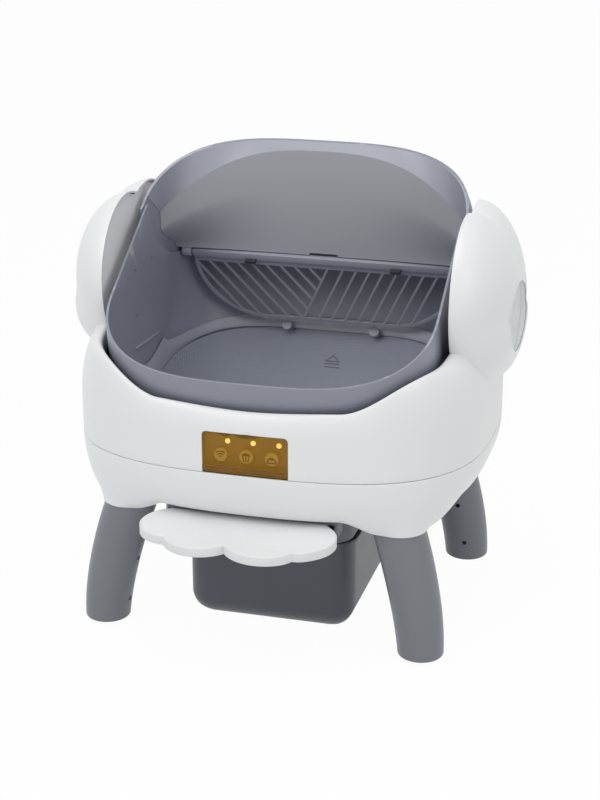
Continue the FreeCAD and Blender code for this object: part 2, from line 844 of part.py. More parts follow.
def base_shells():
    """The upper and lower housings and the grey cradle that lies between them under the drum."""
    cavity = barrel("hood", CAVITY_GROW)
    cavity_back = barrel("hood", CAVITY_GROW + WALL)
    cavity_seat = barrel("hood", CAVITY_GROW + WALL + size("seat_gap"))

    upper = stack(upper_levels(0.0, size("shoulder_top"))).cut(saddle_tool(0.0))
    hollow = stack(upper_levels(WALL, size("shoulder_top") - WALL)).cut(saddle_tool(-WALL))
    solid_upper = upper.copy()
    upper = upper.cut(hollow.cut(cavity_back)).cut(cavity)
    for inside in (pod_dome(size("pod_wall")), mirrored(pod_dome(size("pod_wall")))):
        upper = upper.cut(inside)
    passage = Part.makeCylinder(
        size("axle_radius") + size("drum_gap"),
        2 * size("pod_inner_x"),
        Vector(-size("pod_inner_x"), 0, size("axis_height")),
        Vector(1, 0, 0),
    )
    upper = upper.cut(passage)

    lower = stack(lower_levels(0.0, size("base_bottom")))
    hollow = stack(lower_levels(WALL, size("base_bottom") + WALL))
    root = size("base_bottom") + size("leg_root")
    spigot = size("leg_spigot_radius")
    screw = size("leg_screw_radius")
    for side, depth in CORNERS:
        place = Vector(SIGN[side] * size("leg_top_x"), leg_y(depth), size("leg_top"))
        rise = root - size("leg_top")
        cone = Part.makeCone(size("socket_rim_radius"), size("socket_root_radius"), rise, place)
        lower = lower.fuse(cone)
        hollow = hollow.cut(cone)
    lower = lower.cut(hollow)
    for side, depth in CORNERS:
        place = Vector(SIGN[side] * size("leg_top_x"), leg_y(depth), size("leg_top"))
        lower = lower.cut(Part.makeCylinder(spigot, size("leg_spigot_height"), place))
        lower = lower.cut(Part.makeCylinder(screw, root, place))
    lower = lower.cut(cavity_seat)
    lower = lower.cut(chute_solid(-size("seat_gap"), size("base_bottom") - OVER, SEAM + OVER))

    under_seam = Part.makeBox(2 * FAR, 2 * FAR, SEAM, Vector(-FAR, -FAR, 0))
    tube = chute_solid(0.0, size("chute_bottom"), SEAM)
    bore = chute_solid(WALL, size("chute_bottom") - BEYOND, SEAM + OVER)
    cradle = cavity_back.cut(cavity).common(under_seam).fuse(tube.cut(cavity_back)).cut(bore)
    return upper, lower, cradle, solid_upper


upper_shape, lower_shape, cradle_shape, upper_solid = base_shells()

window = block(
    "WindowOpening",
    ("-window_half_width", "-base_half_depth - wall", "seam_height - wall"),
    ("2 * window_half_width", "4 * wall", "window_top - seam_height + wall"),
)
pin_hole = rod(
    "CoverPinHole",
    "cover_pin_radius + running_clearance",
    "2 * window_half_width + 2 * cover_pin_length + 1",
    (
        "-window_half_width - cover_pin_length - 0.5",
        "-base_half_depth + cover_hinge_depth",
        "seam_height + cover_hinge_rise",
    ),
)
upper_piece = cut("UpperWindowed", formed("UpperMoulding", upper_shape), window)
node("base_upper_shell", cut("UpperHinged", upper_piece, pin_hole))

inlet_hole = rod(
    "InletHole",
    "inlet_radius",
    "6 * wall",
    ("inlet_x", "base_half_depth - 4 * wall", "inlet_height"),
    "Y",
)
node("base_lower_shell", cut("LowerPierced", formed("LowerMoulding", lower_shape), inlet_hole))
node("drum_cradle", formed("CradleMoulding", cradle_shape))

inlet_body = rod(
    "InletBarrel",
    "inlet_radius",
    "6 * wall",
    ("inlet_x", "base_half_depth - 6 * wall", "inlet_height"),
    "Y",
)
inlet_bore = rod(
    "InletBore",
    "inlet_bore_radius",
    "inlet_depth + 1",
    ("inlet_x", "base_half_depth - inlet_depth", "inlet_height"),
    "Y",
)
node("power_inlet", cut("InletSocket", inlet_body, inlet_bore))

# Legs, foot pads and leg screws


def leg_centre(side, depth, z):
    """The bowed line down the middle of a leg."""
    share = max(0.0, min(1.0, (z - size("foot_height")) / (size("leg_top") - size("foot_height"))))
    bow = share**LEG_BOW
    splay_x = size("leg_foot_x") - size("leg_top_x")
    x = size("leg_foot_x") - splay_x * bow
    y = abs(leg_y(depth)) + size("leg_foot_splay_y") * (1 - bow)
    return Vector(SIGN[side] * x, math.copysign(y, leg_y(depth)), z)


def leg_shape(side, depth):
    """A leg: straight bands between five rings, with a round spigot on top."""
    low = size("foot_height")
    rise = size("leg_top") - low
    foot = size("leg_foot_radius")
    top = size("leg_top_radius")
    rings = [(0.0, foot - size("leg_foot_round"))]
    rings += [(share, between(foot, top, swell)) for share, swell in LEG_RINGS]
    wires = []
    for share, radius in rings:
        centre = leg_centre(side, depth, low + rise * share)
        wires.append(Part.Wire([Part.Circle(centre, Vector(0, 0, 1), radius).toShape()]))
    place = leg_centre(side, depth, size("leg_top"))
    spigot = Part.makeCylinder(size("leg_spigot_radius"), size("leg_spigot_height"), place)
    start = place - Vector(0, 0, size("leg_screw_depth"))
    screw = Part.makeCylinder(size("leg_screw_radius"), size("leg_screw_length"), start)
    return stack(wires).fuse(spigot).cut(screw)


def leg_screw(side, depth):
    """The screw that holds a leg from inside the housing."""
    radius = size("leg_screw_radius")
    place = leg_centre(side, depth, size("leg_top")) - Vector(0, 0, size("leg_screw_depth"))
    head_z = size("base_bottom") + size("leg_root")
    shank = Part.makeCylinder(radius, head_z - place.z, place)
    head = Part.makeCylinder(2 * radius, size("leg_screw_head"), Vector(place.x, place.y, head_z))
    return shank.fuse(head)


def foot_pad(side, depth):
    """The rubber pad that a leg stands on."""
    spot = leg_centre(side, depth, 0.0)
    return Part.makeCylinder(size("foot_radius"), size("foot_height"), Vector(spot.x, spot.y, 0))


for side, depth in CORNERS:
    node(f"leg_{depth}_{side}", formed(f"Leg{depth.title()}{side.title()}", leg_shape(side, depth)))
    node(f"foot_pad_{depth}_{side}", formed(f"Pad{depth.title()}{side.title()}", foot_pad(side, depth)))
screws = [formed(f"LegScrew{d.title()}{s.title()}", leg_screw(s, d)) for s, d in CORNERS]
node("leg_screws", group("LegScrews", *screws))

# Step: a scalloped tread whose tongue slides in a sleeve under the base


def tread_outline(z):
    """The tread's outline: a straight tongue and four scallops of different widths."""
    tongue = size("step_tongue_half_width")
    neck = -size("sleeve_front")
    cusp = -size("step_cusp_depth")
    reach = -size("step_reach")
    tip_x = size("step_tip_x")
    tip_y = -size("step_tip_y")
    left = -size("step_left_cusp_x")
    middle = -size("step_middle_cusp_x")
    right = size("step_right_cusp_x")
    left_cusp = cusp + size("step_left_cusp_rise")
    right_tip = (tip_x - size("step_right_tip_less"), tip_y - size("step_right_tip_forward"))

    def at(x, y):
        return Vector(x, y, z)

    rear = -size("step_tongue_rear")
    arcs = [
        (at(-tongue, neck), at(-tip_x, tip_y), at(left, left_cusp)),
        (at(left, left_cusp), at((left + middle) / 2, reach + size("step_second_less")), at(middle, cusp)),
        (at(middle, cusp), at((middle + right) / 2, reach), at(right, cusp)),
        (at(right, cusp), at(*right_tip), at(tongue, neck)),
    ]
    edges = [Part.Arc(*points).toShape() for points in arcs]
    corners = [at(tongue, neck), at(tongue, rear), at(-tongue, rear), at(-tongue, neck)]
    edges += [Part.LineSegment(a, b).toShape() for a, b in zip(corners, corners[1:])]
    return Part.Face(Part.Wire(edges))


def tread_shape():
    """The tread as a slab with a small chamfer round its upper edge."""
    thickness = size("step_thickness")
    bottom = size("step_top") - thickness
    slab = tread_outline(bottom).extrude(Vector(0, 0, thickness))
    rim = [
        edge
        for edge in slab.Edges
        if all(abs(v.Z - size("step_top")) < 1e-6 for v in edge.Vertexes)
        and edge.CenterOfMass.y < -size("sleeve_front") - 4
    ]
    return slab.makeChamfer(size("step_chamfer"), rim)


node("step_tread", formed("TreadMoulding", tread_shape()))

sleeve_block = block(
    "SleeveBlock",
    ("-step_tongue_half_width - sleeve_wall", "-sleeve_front", "step_top - step_thickness - wall"),
    (
        "2 * step_tongue_half_width + 2 * sleeve_wall",
        "sleeve_front - step_tongue_rear + wall",
        "base_bottom - step_top + step_thickness + wall",
    ),
)
sleeve_slot = block(
    "SleeveSlot",
    ("-step_tongue_half_width - seat_gap", "-sleeve_front - 1", "step_top - step_thickness - seat_gap"),
    (
        "2 * step_tongue_half_width + 2 * seat_gap",
        "sleeve_front - step_tongue_rear + 1 + seat_gap",
        "step_thickness + 2 * seat_gap",
    ),
)
sleeve_chute = formed("SleeveChuteRoom", chute_solid(-size("seat_gap"), 100.0, 260.0))
sleeve_open = cut("SleeveOpen", sleeve_block, sleeve_slot)
node("step_sleeve", cut("SleeveClear", sleeve_open, sleeve_chute))

# Waste bin


def bin_solid(inset, bottom, top):
    """The bin's form: a round-bottomed section carried back, with its upright corners rounded."""
    x = size("bin_half_width") - inset
    front = -size("bin_front") + inset
    rear = size("bin_rear") - inset
    radius = size("bin_lower_round") - inset
    bend = radius * (1 - math.sqrt(0.5))

    def at(px, pz):
        return Vector(px, front, pz)

    edges = [
        Part.LineSegment(at(x, top), at(x, bottom + radius)).toShape(),
        Part.Arc(at(x, bottom + radius), at(x - bend, bottom + bend), at(x - radius, bottom)).toShape(),
        Part.LineSegment(at(x - radius, bottom), at(radius - x, bottom)).toShape(),
        Part.Arc(at(radius - x, bottom), at(bend - x, bottom + bend), at(-x, bottom + radius)).toShape(),
        Part.LineSegment(at(-x, bottom + radius), at(-x, top)).toShape(),
        Part.LineSegment(at(-x, top), at(x, top)).toShape(),
    ]
    trough = Part.Face(Part.Wire(edges)).extrude(Vector(0, rear - front, 0))
    box = Part.makeBox(2 * x, rear - front, top - bottom, Vector(-x, front, bottom))
    uprights = [edge for edge in box.Edges if abs(edge.tangentAt(edge.FirstParameter).z) > STRAIGHT]
    return trough.common(box.makeFillet(size("bin_corner") - inset, uprights))


def bin_shape():
    """The bin with its wall and the turned rim round its top."""
    height = size("bin_height")
    rim = size("bin_rim")
    outer = bin_solid(0.0, 0.0, height).fuse(bin_solid(-rim / 2, -rim / 2, height).common(
        Part.makeBox(2 * FAR, 2 * FAR, rim, Vector(-FAR, -FAR, height - rim))
    ))
    return outer.cut(bin_solid(size("bin_wall"), size("bin_wall"), height + BEYOND))


node("waste_bin", formed("BinMoulding", bin_shape()))

# Drum: bowl, hood, liner and mat


def bowl_shape():
    """The bowl: the drum's wall below the mouth and outside the hood, with sockets for the sieve's pins."""
    inner = barrel("bowl", -WALL)
    bowl = barrel("bowl", 0.0).cut(inner).common(below_mouth()).cut(hood_region(0.0))
    for sign in (-1, 1):
        start = sign * (size("sieve_half_width") + 2.0)
        run = size("bowl_half_length") - size("sieve_half_width") - 2.0
        place = Vector(start, size("sieve_top_y"), size("axis_height") + size("sieve_top_z"))
        boss = Part.makeCylinder(3 * size("sieve_pin_radius"), run, place, Vector(sign, 0, 0))
        bowl = bowl.fuse(boss.common(barrel("bowl", -WALL / 2)))
        bore = Part.makeCylinder(
            size("sieve_pin_radius") + size("running_clearance"),
            size("sieve_pin_reach") + 0.5 - abs(start) + 1.0,
            place - Vector(sign, 0, 0),
            Vector(sign, 0, 0),
        )
        bowl = bowl.cut(bore)
    for turn in SCREW_TURNS:
        angle = math.radians(turn)
        ring = size("hub_screw_ring")
        spot = Vector(
            -size("hood_half_length"), ring * math.cos(angle), size("axis_height") + ring * math.sin(angle)
        )
        bowl = bowl.cut(
            Part.makeCylinder(size("small_screw_radius"), 2 * size("hood_half_length"), spot, Vector(1, 0, 0))
        )
    return bowl


def hood_shape():
    """The hood: an outer wall that laps over the bowl, with a strip under its seam that closes on the bowl."""
    outer = barrel("hood", 0.0)
    inner = barrel("hood", -size("hood_wall"))
    lap = size("hood_lap")
    wall = outer.cut(inner).common(below_mouth()).common(hood_region(lap))
    strip = hood_region(lap).cut(hood_region(lap - WALL)).common(below_mouth())
    return wall.fuse(strip.common(outer).cut(barrel("bowl", size("seat_gap"))))


def crease(x):
    """The arched upper edge of the liner's dish: its height over the axis at x."""
    share = abs(x) / size("liner_half_width")
    return size("crease_top") - size("crease_drop") * share**CREASE_POWER


def dish(x, z):
    """How far back the liner's dished face lies at x and at height z over the axis."""
    foot = size("liner_foot_y") - size("liner_lean") * (z - size("liner_foot_z"))
    return foot - size("liner_dish") * (abs(x) / size("liner_half_width")) ** DISH_POWER


def liner_shape():
    """The hood's inner wall: a dished sheet up to an arched crease, then a band out to the hood's rim.

    It is built as strips across x, each a closed outline in side view, with straight lofts between them.
    """
    sheet_wall = size("liner_wall")
    half = size("hood_half_length") - size("hood_wall")
    foot = size("liner_foot_z")
    height = size("axis_height")
    profile = barrel_profile("hood", -size("hood_wall"))
    stations = [half * share for share in LINER_STATIONS]

    def rim(x):
        """Where the mouth's plane crosses the hood's inner face at x."""
        for (x0, r0), (x1, r1) in zip(profile, profile[1:]):
            if x0 <= x <= x1:
                radius = r0 + (r1 - r0) * (x - x0) / (x1 - x0)
        slope = size("mouth_slope")
        level = size("mouth_height")
        a = 1 + slope * slope
        b = 2 * slope * level
        c = level * level - radius * radius
        y = (-b + math.sqrt(b * b - 4 * a * c)) / (2 * a)
        return y, mouth_line(y)

    def outline_at(x):
        y_rim, z_rim = rim(abs(x))
        z_crease = min(crease(x), z_rim - 2 * sheet_wall)
        y_crease = dish(x, z_crease)
        y_foot = dish(x, foot)
        corners = [
            (y_foot, foot),
            (y_crease, z_crease),
            (y_rim, z_rim),
            (y_rim, z_rim - 1.4 * sheet_wall),
            (y_crease + sheet_wall, z_crease - sheet_wall),
            (y_foot + sheet_wall, foot),
        ]
        spots = [Vector(x, y, z + height) for y, z in corners]
        return Part.makePolygon(spots + spots[:1])

    xs = [-x for x in reversed(stations[1:])] + stations
    body = stack([outline_at(x) for x in xs])
    inside = barrel("hood", -size("hood_wall")).common(below_mouth())
    notch = size("liner_notch_half_width")
    slot = Part.makeBox(
        2 * notch,
        4 * sheet_wall,
        size("liner_notch_height"),
        Vector(-notch, size("liner_foot_y") - 2 * sheet_wall, height + foot),
    )
    return body.common(inside).cut(slot)


bowl_whole = bowl_shape()
node("drum_bowl", formed("BowlMoulding", bowl_whole))
node("drum_hood", formed("HoodMoulding", hood_shape()))
node("hood_liner", formed("LinerMoulding", liner_shape()))


def mat_shape():
    """The mat: a sheet on the bowl's floor that follows its curve."""
    sheet_solid = barrel("bowl", -WALL).cut(barrel("bowl", -WALL - size("mat_thickness")))
    start = math.radians(size("mat_front_angle"))
    end = start + math.radians(size("mat_sweep_angle"))
    far = 500.0
    middle = (start + end) / 2
    corners = [
        (0.0, 0.0),
        (far * math.cos(start), far * math.sin(start)),
        (2 * far * math.cos(middle), 2 * far * math.sin(middle)),
        (far * math.cos(end), far * math.sin(end)),
    ]
    return sheet_solid.common(across(corners, size("mat_half_length")))


node("litter_mat", formed("MatSheet", mat_shape()))


def stop_shape(sign):
    """A round stop that the sieve's lower edge rests above."""
    angle = math.radians(-28.0)
    low = size("bowl_radius") - 21.0
    direction = Vector(0, math.cos(angle), math.sin(angle))
    place = direction * low + Vector(sign * size("stop_x"), 0, size("axis_height"))
    peg = Part.makeCylinder(size("stop_radius"), 21.0, place, direction)
    return peg.common(barrel("bowl", -WALL))


node("sieve_stops", group("SieveStops", *[formed(f"Stop{n}", stop_shape(s)) for s, n in ((-1, "L"), (1, "R"))]))

# Sieve


def sieve_blank(inset, top):
    """The sieve's outline drawn in by inset, as a slab that hangs from the hinge line, square above."""
    half = size("sieve_half_width") - inset
    low = size("sieve_drop") - inset
    slab = Part.makeBox(2 * half, size("sieve_thickness"), low, Vector(-half, 0, -low))
    corners = [
        edge
        for edge in slab.Edges
        if abs(edge.tangentAt(edge.FirstParameter).y) > STRAIGHT and edge.CenterOfMass.z < 1 - low
    ]
    rounded = slab.makeFillet(size("sieve_corner") - inset, corners)
    below = Part.makeBox(2 * half, 3 * size("sieve_thickness"), low, Vector(-half, -size("sieve_thickness"), -low - top))
    return rounded.common(below)


def sieve_bar(top_x, slope):
    """One slanted bar that leaves the hinge line at top_x, a solid as tall as the sieve."""
    half = size("bar_width") / 2 * math.hypot(1, slope)
    drop = size("sieve_drop")
    foot_x = top_x + slope * drop
    corners = [
        Vector(top_x - half, 0, 0),
        Vector(top_x + half, 0, 0),
        Vector(foot_x + half, 0, -drop),
        Vector(foot_x - half, 0, -drop),
    ]
    return Part.Face(Part.makePolygon(corners + corners[:1])).extrude(Vector(0, size("sieve_thickness"), 0))


def left_of_divider():
    """All of the sieve that lies on the left of its slanted divider."""
    far = 2 * size("sieve_half_width")
    drop = size("sieve_drop")
    top_x = size("divider_x")
    foot_x = top_x - size("divider_slope") * drop
    corners = [Vector(-far, 0, 0), Vector(top_x, 0, 0), Vector(foot_x, 0, -drop), Vector(-far, 0, -drop)]
    return Part.Face(Part.makePolygon(corners + corners[:1])).extrude(Vector(0, size("sieve_thickness"), 0))


def sieve_bars():
    """The divider, the bars on its right that run along it, and the bars on its left that meet it."""
    room = sieve_blank(size("sieve_rim") / 2, size("sieve_rail_depth") / 2)
    left_room = room.common(left_of_divider())
    slope = size("divider_slope")
    bars = [sieve_bar(size("divider_x"), -slope).common(room)]
    for index in range(int(size("right_bars"))):
        top_x = size("divider_x") + size("right_bar_pitch") * (index + 1.15)
        bars.append(sieve_bar(top_x, -slope).common(room))
    for index in range(int(size("left_bars"))):
        top_x = size("left_bar_x") - size("left_bar_pitch") * index
        bars.append(sieve_bar(top_x, size("left_bar_slope")).common(left_room))
    return bars


def hung(shape):
    """A shape drawn about the hinge line, leant back and moved to the sieve's place."""
    shape.rotate(Vector(0, 0, 0), Vector(1, 0, 0), size("sieve_lean_angle"))
    shape.translate(Vector(0, size("sieve_top_y"), size("axis_height") + size("sieve_top_z")))
    return shape


def sieve_shape():
    """The slotted plate with its top rail, its hinge pins and the two tabs on its lower edge."""
    thickness = size("sieve_thickness")
    reach = size("sieve_pin_reach")
    rail = size("rail_half_depth")
    half = size("sieve_half_width")
    frame = sieve_blank(0.0, 0.0).cut(sieve_blank(size("sieve_rim"), size("sieve_rail_depth")))
    bar = Part.makeBox(2 * half, 2 * rail, 2 * rail, Vector(-half, -rail, -rail))
    pins = Part.makeCylinder(size("sieve_pin_radius"), 2 * reach, Vector(-reach, 0, 0), Vector(1, 0, 0))
    whole = frame.fuse([bar, pins] + sieve_bars())
    for sign in (-1, 1):
        corner = Vector(sign * size("tab_x") - size("tab_width") / 2, 0, -size("sieve_drop") - size("tab_width") / 3)
        whole = whole.fuse(Part.makeBox(size("tab_width"), thickness, size("tab_width"), corner))
    return hung(whole.removeSplitter())


def clip_shape(sign):
    """A small hooked clip on the front of the sieve's rail."""
    width = size("clip_width")
    rail = size("rail_half_depth")
    base = Part.makeBox(width, 2 * rail, rail, Vector(sign * size("clip_x") - width / 2, -2.4 * rail, -1.6 * rail))
    bar = Part.makeBox(2 * width, 4 * rail, 2 * rail, Vector(sign * size("clip_x") - width, -rail, -rail))
    room = sieve_blank(0.0, 0.0)
    return hung(base.cut(bar).cut(room))


clips = [formed(f"Clip{name}", clip_shape(sign)) for sign, name in ((-1, "Left"), (1, "Right"))]
node("sieve_clips", group("SieveClips", *clips))
node("sieve", formed("SieveMoulding", sieve_shape()))

# Hubs, bearings and gear


def hub_points(sign, end):
    """Corners of a flanged hub that turns in its pod's bearing."""
    face = "bowl_half_length"
    return [
        (f"{sign} * {face}", "axle_bore_radius"),
        (f"{sign} * {face}", "hub_flange_radius"),
        (f"{sign} * ({face} + hub_flange_thickness)", "hub_flange_radius"),
        (f"{sign} * ({face} + hub_flange_thickness)", "axle_radius"),
        (f"{sign} * ({end})", "axle_radius"),
        (f"{sign} * ({end})", "axle_bore_radius"),
    ]


def ring_points(sign, near, far, inner, outer):
    """Corners of a plain ring on the drum's axis."""
    return [
        (f"{sign} * ({near})", inner),
        (f"{sign} * ({near})", outer),
        (f"{sign} * ({far})", outer),
        (f"{sign} * ({far})", inner),
    ]


def screw_holes(name):
    """The ring of screw holes that the hubs and the bowl's ends share."""
    holes = []
    for turn in SCREW_TURNS:
        spot = (
            "-hood_half_length",
            f"hub_screw_ring * cos({turn} deg)",
            f"axis_height + hub_screw_ring * sin({turn} deg)",
        )
        holes.append(rod(f"{name}{turn}", "small_screw_radius", "2 * hood_half_length", spot))
    return fuse(name, *holes)


ENDS = {"left": "axle_end_x - gear_width", "right": "axle_end_x"}
for side, sign in SIGN.items():
    blank = on_axis(turned(f"Hub{side.title()}", hub_points(sign, ENDS[side])))
    node(f"axle_{side}", cut(f"HubDrilled{side.title()}", blank, screw_holes(f"HubHoles{side.title()}")))
    ring = ring_points(
        sign,
        "pod_inner_x",
        "pod_inner_x + bearing_thickness",
        "axle_radius + running_clearance",
        "axle_radius + running_clearance + bearing_thickness",
    )
    node(f"bearing_{side}", on_axis(turned(f"Bush{side.title()}", ring)))


def involute_gear(teeth, tip_share, root_share, turn, bore):
    """A spur gear on the X axis with involute flanks, a tooth at the angle turn from +Y."""
    module = size("gear_module")
    pitch = module * teeth / 2
    base = pitch * math.cos(math.radians(20.0))
    tip = pitch + module * tip_share
    root = pitch - module * root_share
    pressure = math.tan(math.radians(20.0)) - math.radians(20.0)
    half = (math.pi * module / 2 - size("gear_backlash")) / (2 * pitch)
    start = max(base, root)
    radii = [start + (tip - start) * step / 3 for step in range(4)]
    flank = [(root, half + pressure)]
    for radius in radii:
        away = math.acos(min(1.0, base / radius))
        flank.append((radius, half + pressure - (math.tan(away) - away)))
    points = []
    for tooth in range(teeth):
        middle = turn + 2 * math.pi * tooth / teeth
        points += [(radius, middle - angle) for radius, angle in flank]
        points += [(radius, middle + angle) for radius, angle in reversed(flank)]
    spots = [Vector(0, r * math.cos(a), r * math.sin(a)) for r, a in points]
    blank = Part.Face(Part.makePolygon(spots + spots[:1])).extrude(Vector(size("gear_width"), 0, 0))
    hole = Part.makeCylinder(bore, 3 * size("gear_width"), Vector(-size("gear_width"), 0, 0), Vector(1, 0, 0))
    return blank.cut(hole) if bore else blank


PINION_TURN = math.radians(size("pinion_angle"))
CENTRES = size("gear_module") * (size("gear_teeth") + size("pinion_teeth")) / 2
PINION_Y = CENTRES * math.cos(PINION_TURN)
PINION_Z = size("axis_height") + CENTRES * math.sin(PINION_TURN)

gear = involute_gear(int(size("gear_teeth")), 0.9, 1.25, PINION_TURN, size("axle_radius"))
gear.translate(Vector(size("gear_inner_x"), 0, size("axis_height")))
node("drum_gear", formed("GearRing", gear))

half_tooth = math.pi / size("pinion_teeth")
pinion = involute_gear(int(size("pinion_teeth")), 0.9, 1.25, PINION_TURN + math.pi + half_tooth, 0.0)
pinion.translate(Vector(size("gear_inner_x"), PINION_Y, PINION_Z))
shaft_end = size("axle_end_x") - 5.0 + size("gearbox_length") / 2
shaft = Part.makeCylinder(
    size("motor_shaft_radius"),
    shaft_end - size("gear_inner_x"),
    Vector(size("gear_inner_x"), PINION_Y, PINION_Z),
    Vector(1, 0, 0),
)
node("drive_pinion", formed("PinionGear", pinion.fuse(shaft)))


def gear_motor_shape():
    """The gearbox, with a bore for its output shaft, and the motor behind it."""
    near = size("axle_end_x") - 5.0
    place = Vector(near, PINION_Y, PINION_Z)
    across_x = Vector(1, 0, 0)
    box = Part.makeCylinder(size("gearbox_radius"), size("gearbox_length"), place, across_x)
    can_place = place + across_x * size("gearbox_length")
    can = Part.makeCylinder(size("motor_radius"), size("motor_length"), can_place, across_x)
    bore_radius = size("motor_shaft_radius") + size("running_clearance")
    bore = Part.makeCylinder(bore_radius, size("gearbox_length") / 2 + 0.5, place, across_x)
    return box.fuse(can).cut(bore)


node("gear_motor", formed("GearMotor", gear_motor_shape()))

bracket_near = "axle_end_x - 5 - 2"
bracket = new_body("Bracket")
bracket_sketch = sketch_in(bracket, "YZ_Plane", bracket_near)
outline(
    bracket_sketch,
    [
        ("95", "axis_height + 16"),
        ("90", "axis_height + 88"),
        ("24", "axis_height + 104"),
        ("4", "axis_height + 84"),
        ("24", "axis_height + 42"),
    ],
)
pad(bracket, bracket_sketch, "2")
document.recompute()
SHAFT_Y = "gear_module * (gear_teeth + pinion_teeth) / 2 * cos(pinion_angle * 1 deg)"
SHAFT_Z = "axis_height + gear_module * (gear_teeth + pinion_teeth) / 2 * sin(pinion_angle * 1 deg)"
hole_sketch = sketch_in(bracket, "YZ_Plane", bracket_near)
circle(hole_sketch, (SHAFT_Y, SHAFT_Z), "motor_shaft_radius * 2")
pocket(bracket, hole_sketch, "12", both_ways=True)
posts = [
    rod(f"BracketPost{index}", "4", f"{bracket_near} - pod_inner_x - pod_plate", ("pod_inner_x + pod_plate", y, z))
    for index, (y, z) in enumerate(
        (("86", "axis_height + 26"), ("82", "axis_height + 80"), ("22", "axis_height + 94"))
    )
]
node("motor_bracket", fuse("BracketWithPosts", bracket, *posts))

# Small screws: those that hold the hubs to the bowl and those that hold the motor's bracket


def small_screw(name, start, length, sign):
    """A screw along X whose head lies beyond its shank, on the side that sign names."""
    x, y, z = start
    tail = x if sign > 0 else f"{x} - ({length})"
    shank = rod(name + "Shank", "small_screw_radius", length, (tail, y, z))
    seat = f"{x} + ({length})" if sign > 0 else f"{x} - ({length}) - screw_head_height"
    head = rod(name + "Head", "screw_head_radius", "screw_head_height", (seat, y, z))
    return fuse(name, shank, head)


hub_screws = []
for side, sign in SIGN.items():
    for turn in SCREW_TURNS:
        spot = (
            f"{sign} * (bowl_half_length - wall)",
            f"hub_screw_ring * cos({turn} deg)",
            f"axis_height + hub_screw_ring * sin({turn} deg)",
        )
        hub_screws.append(
            small_screw(f"HubScrew{side.title()}{turn}", spot, "wall + hub_flange_thickness", sign)
        )
node("hub_screws", group("HubScrews", *hub_screws))

# Side pods: an inner plate, a domed shell and a hub cap on each side


def pod_plate_shape():
    """The flat inner plate of the right pod, with the bearing's hole."""
    blank = Part.Face(pod_wire(size("pod_inner_x"), 0.0, 0.0)).extrude(Vector(size("pod_plate"), 0, 0))
    bore = Part.makeCylinder(
        size("axle_radius") + size("running_clearance") + size("bearing_thickness"),
        3 * size("pod_plate"),
        Vector(size("pod_inner_x") - size("pod_plate"), 0, size("axis_height")),
        Vector(1, 0, 0),
    )
    return blank.cut(upper_solid).cut(bore)


def pod_shell_shape():
    """The domed outer shell of the right pod, with a round opening over the hub."""
    plate_end = size("pod_inner_x") + size("pod_plate")
    shell = pod_dome(0.0).cut(pod_dome(size("pod_wall"))).cut(upper_solid)
    shell = shell.cut(Part.makeBox(plate_end, 2 * FAR, 2 * FAR, Vector(0, -FAR, 0)))
    opening = Part.makeCylinder(
        size("hub_cap_radius"),
        60.0,
        Vector(size("pod_outer_x") - BEYOND, 0, size("axis_height")),
        Vector(1, 0, 0),
    )
    return shell.cut(opening)


def cap_points(sign):
    """Corners of a shallow round cup with a raised boss in its middle."""
    rim = "pod_outer_x - pod_edge"
    floor = "pod_outer_x - hub_cap_recess"
    back = f"{floor} - hub_cap_wall"
    radius = "hub_cap_radius - seat_gap / 2"
    pairs = [
        (back, "0"),
        (back, radius),
        (rim, radius),
        (rim, f"{radius} - hub_cap_wall"),
        (floor, f"{radius} - hub_cap_wall - 2"),
        (floor, "hub_boss_radius + 2"),
        (f"{floor} + hub_boss_rise", "hub_boss_radius"),
        (f"{floor} + hub_boss_rise", "0"),
    ]
    return [(f"{sign} * ({x})", r) for x, r in pairs]


plate_shape = pod_plate_shape()
shell_shape = pod_shell_shape()
for side, sign in SIGN.items():
    title = side.title()
    plate = plate_shape if sign > 0 else mirrored(plate_shape)
    shell = shell_shape if sign > 0 else mirrored(shell_shape)
    node(f"pod_inner_plate_{side}", formed(f"PodPlate{title}", plate))
    node(f"pod_shell_{side}", formed(f"PodShell{title}", shell))
    node(f"hub_cap_{side}", on_axis(turned(f"HubCap{title}", cap_points(sign))))

# Control panel: a tray behind the window, three buttons, their lights, a board and a hinged cover


def cover_shape():
    """The cover: a crowned plate over the window with a hinge barrel along its lower edge."""
    gap = size("cover_gap")
    half = size("window_half_width") - gap
    hinge_z = size("seam_height") + size("cover_hinge_rise")
    hinge_y = -size("base_half_depth") + size("cover_hinge_depth")
    top = size("window_top") - gap
    skin = upper_solid.cut(stack(upper_levels(size("cover_thickness"), size("shoulder_top"))))
    plate = Part.makeBox(2 * half, 40.0, top - hinge_z, Vector(-half, -size("base_half_depth") - 20.0, hinge_z))
    corners = [
        edge
        for edge in plate.Edges
        if abs(edge.tangentAt(edge.FirstParameter).y) > STRAIGHT and edge.CenterOfMass.z > top - 1
    ]
    plate = plate.makeFillet(size("window_corner") - gap, corners).common(skin)
    scoop = Part.makeCylinder(
        size("scoop_radius"),
        40.0,
        Vector(
            -size("scoop_x"),
            -size("base_half_depth") - 20.0,
            top + size("scoop_radius") - size("scoop_depth"),
        ),
        Vector(0, 1, 0),
    )
    plate = plate.cut(scoop)
    across_x = Vector(1, 0, 0)
    barrel = Part.makeCylinder(size("cover_barrel_radius"), 2 * half, Vector(-half, hinge_y, hinge_z), across_x)
    reach = size("window_half_width") + size("cover_pin_length")
    pin = Part.makeCylinder(size("cover_pin_radius"), 2 * reach, Vector(-reach, hinge_y, hinge_z), across_x)
    return plate.fuse(barrel).fuse(pin)


node("panel_cover", formed("CoverMoulding", cover_shape()))

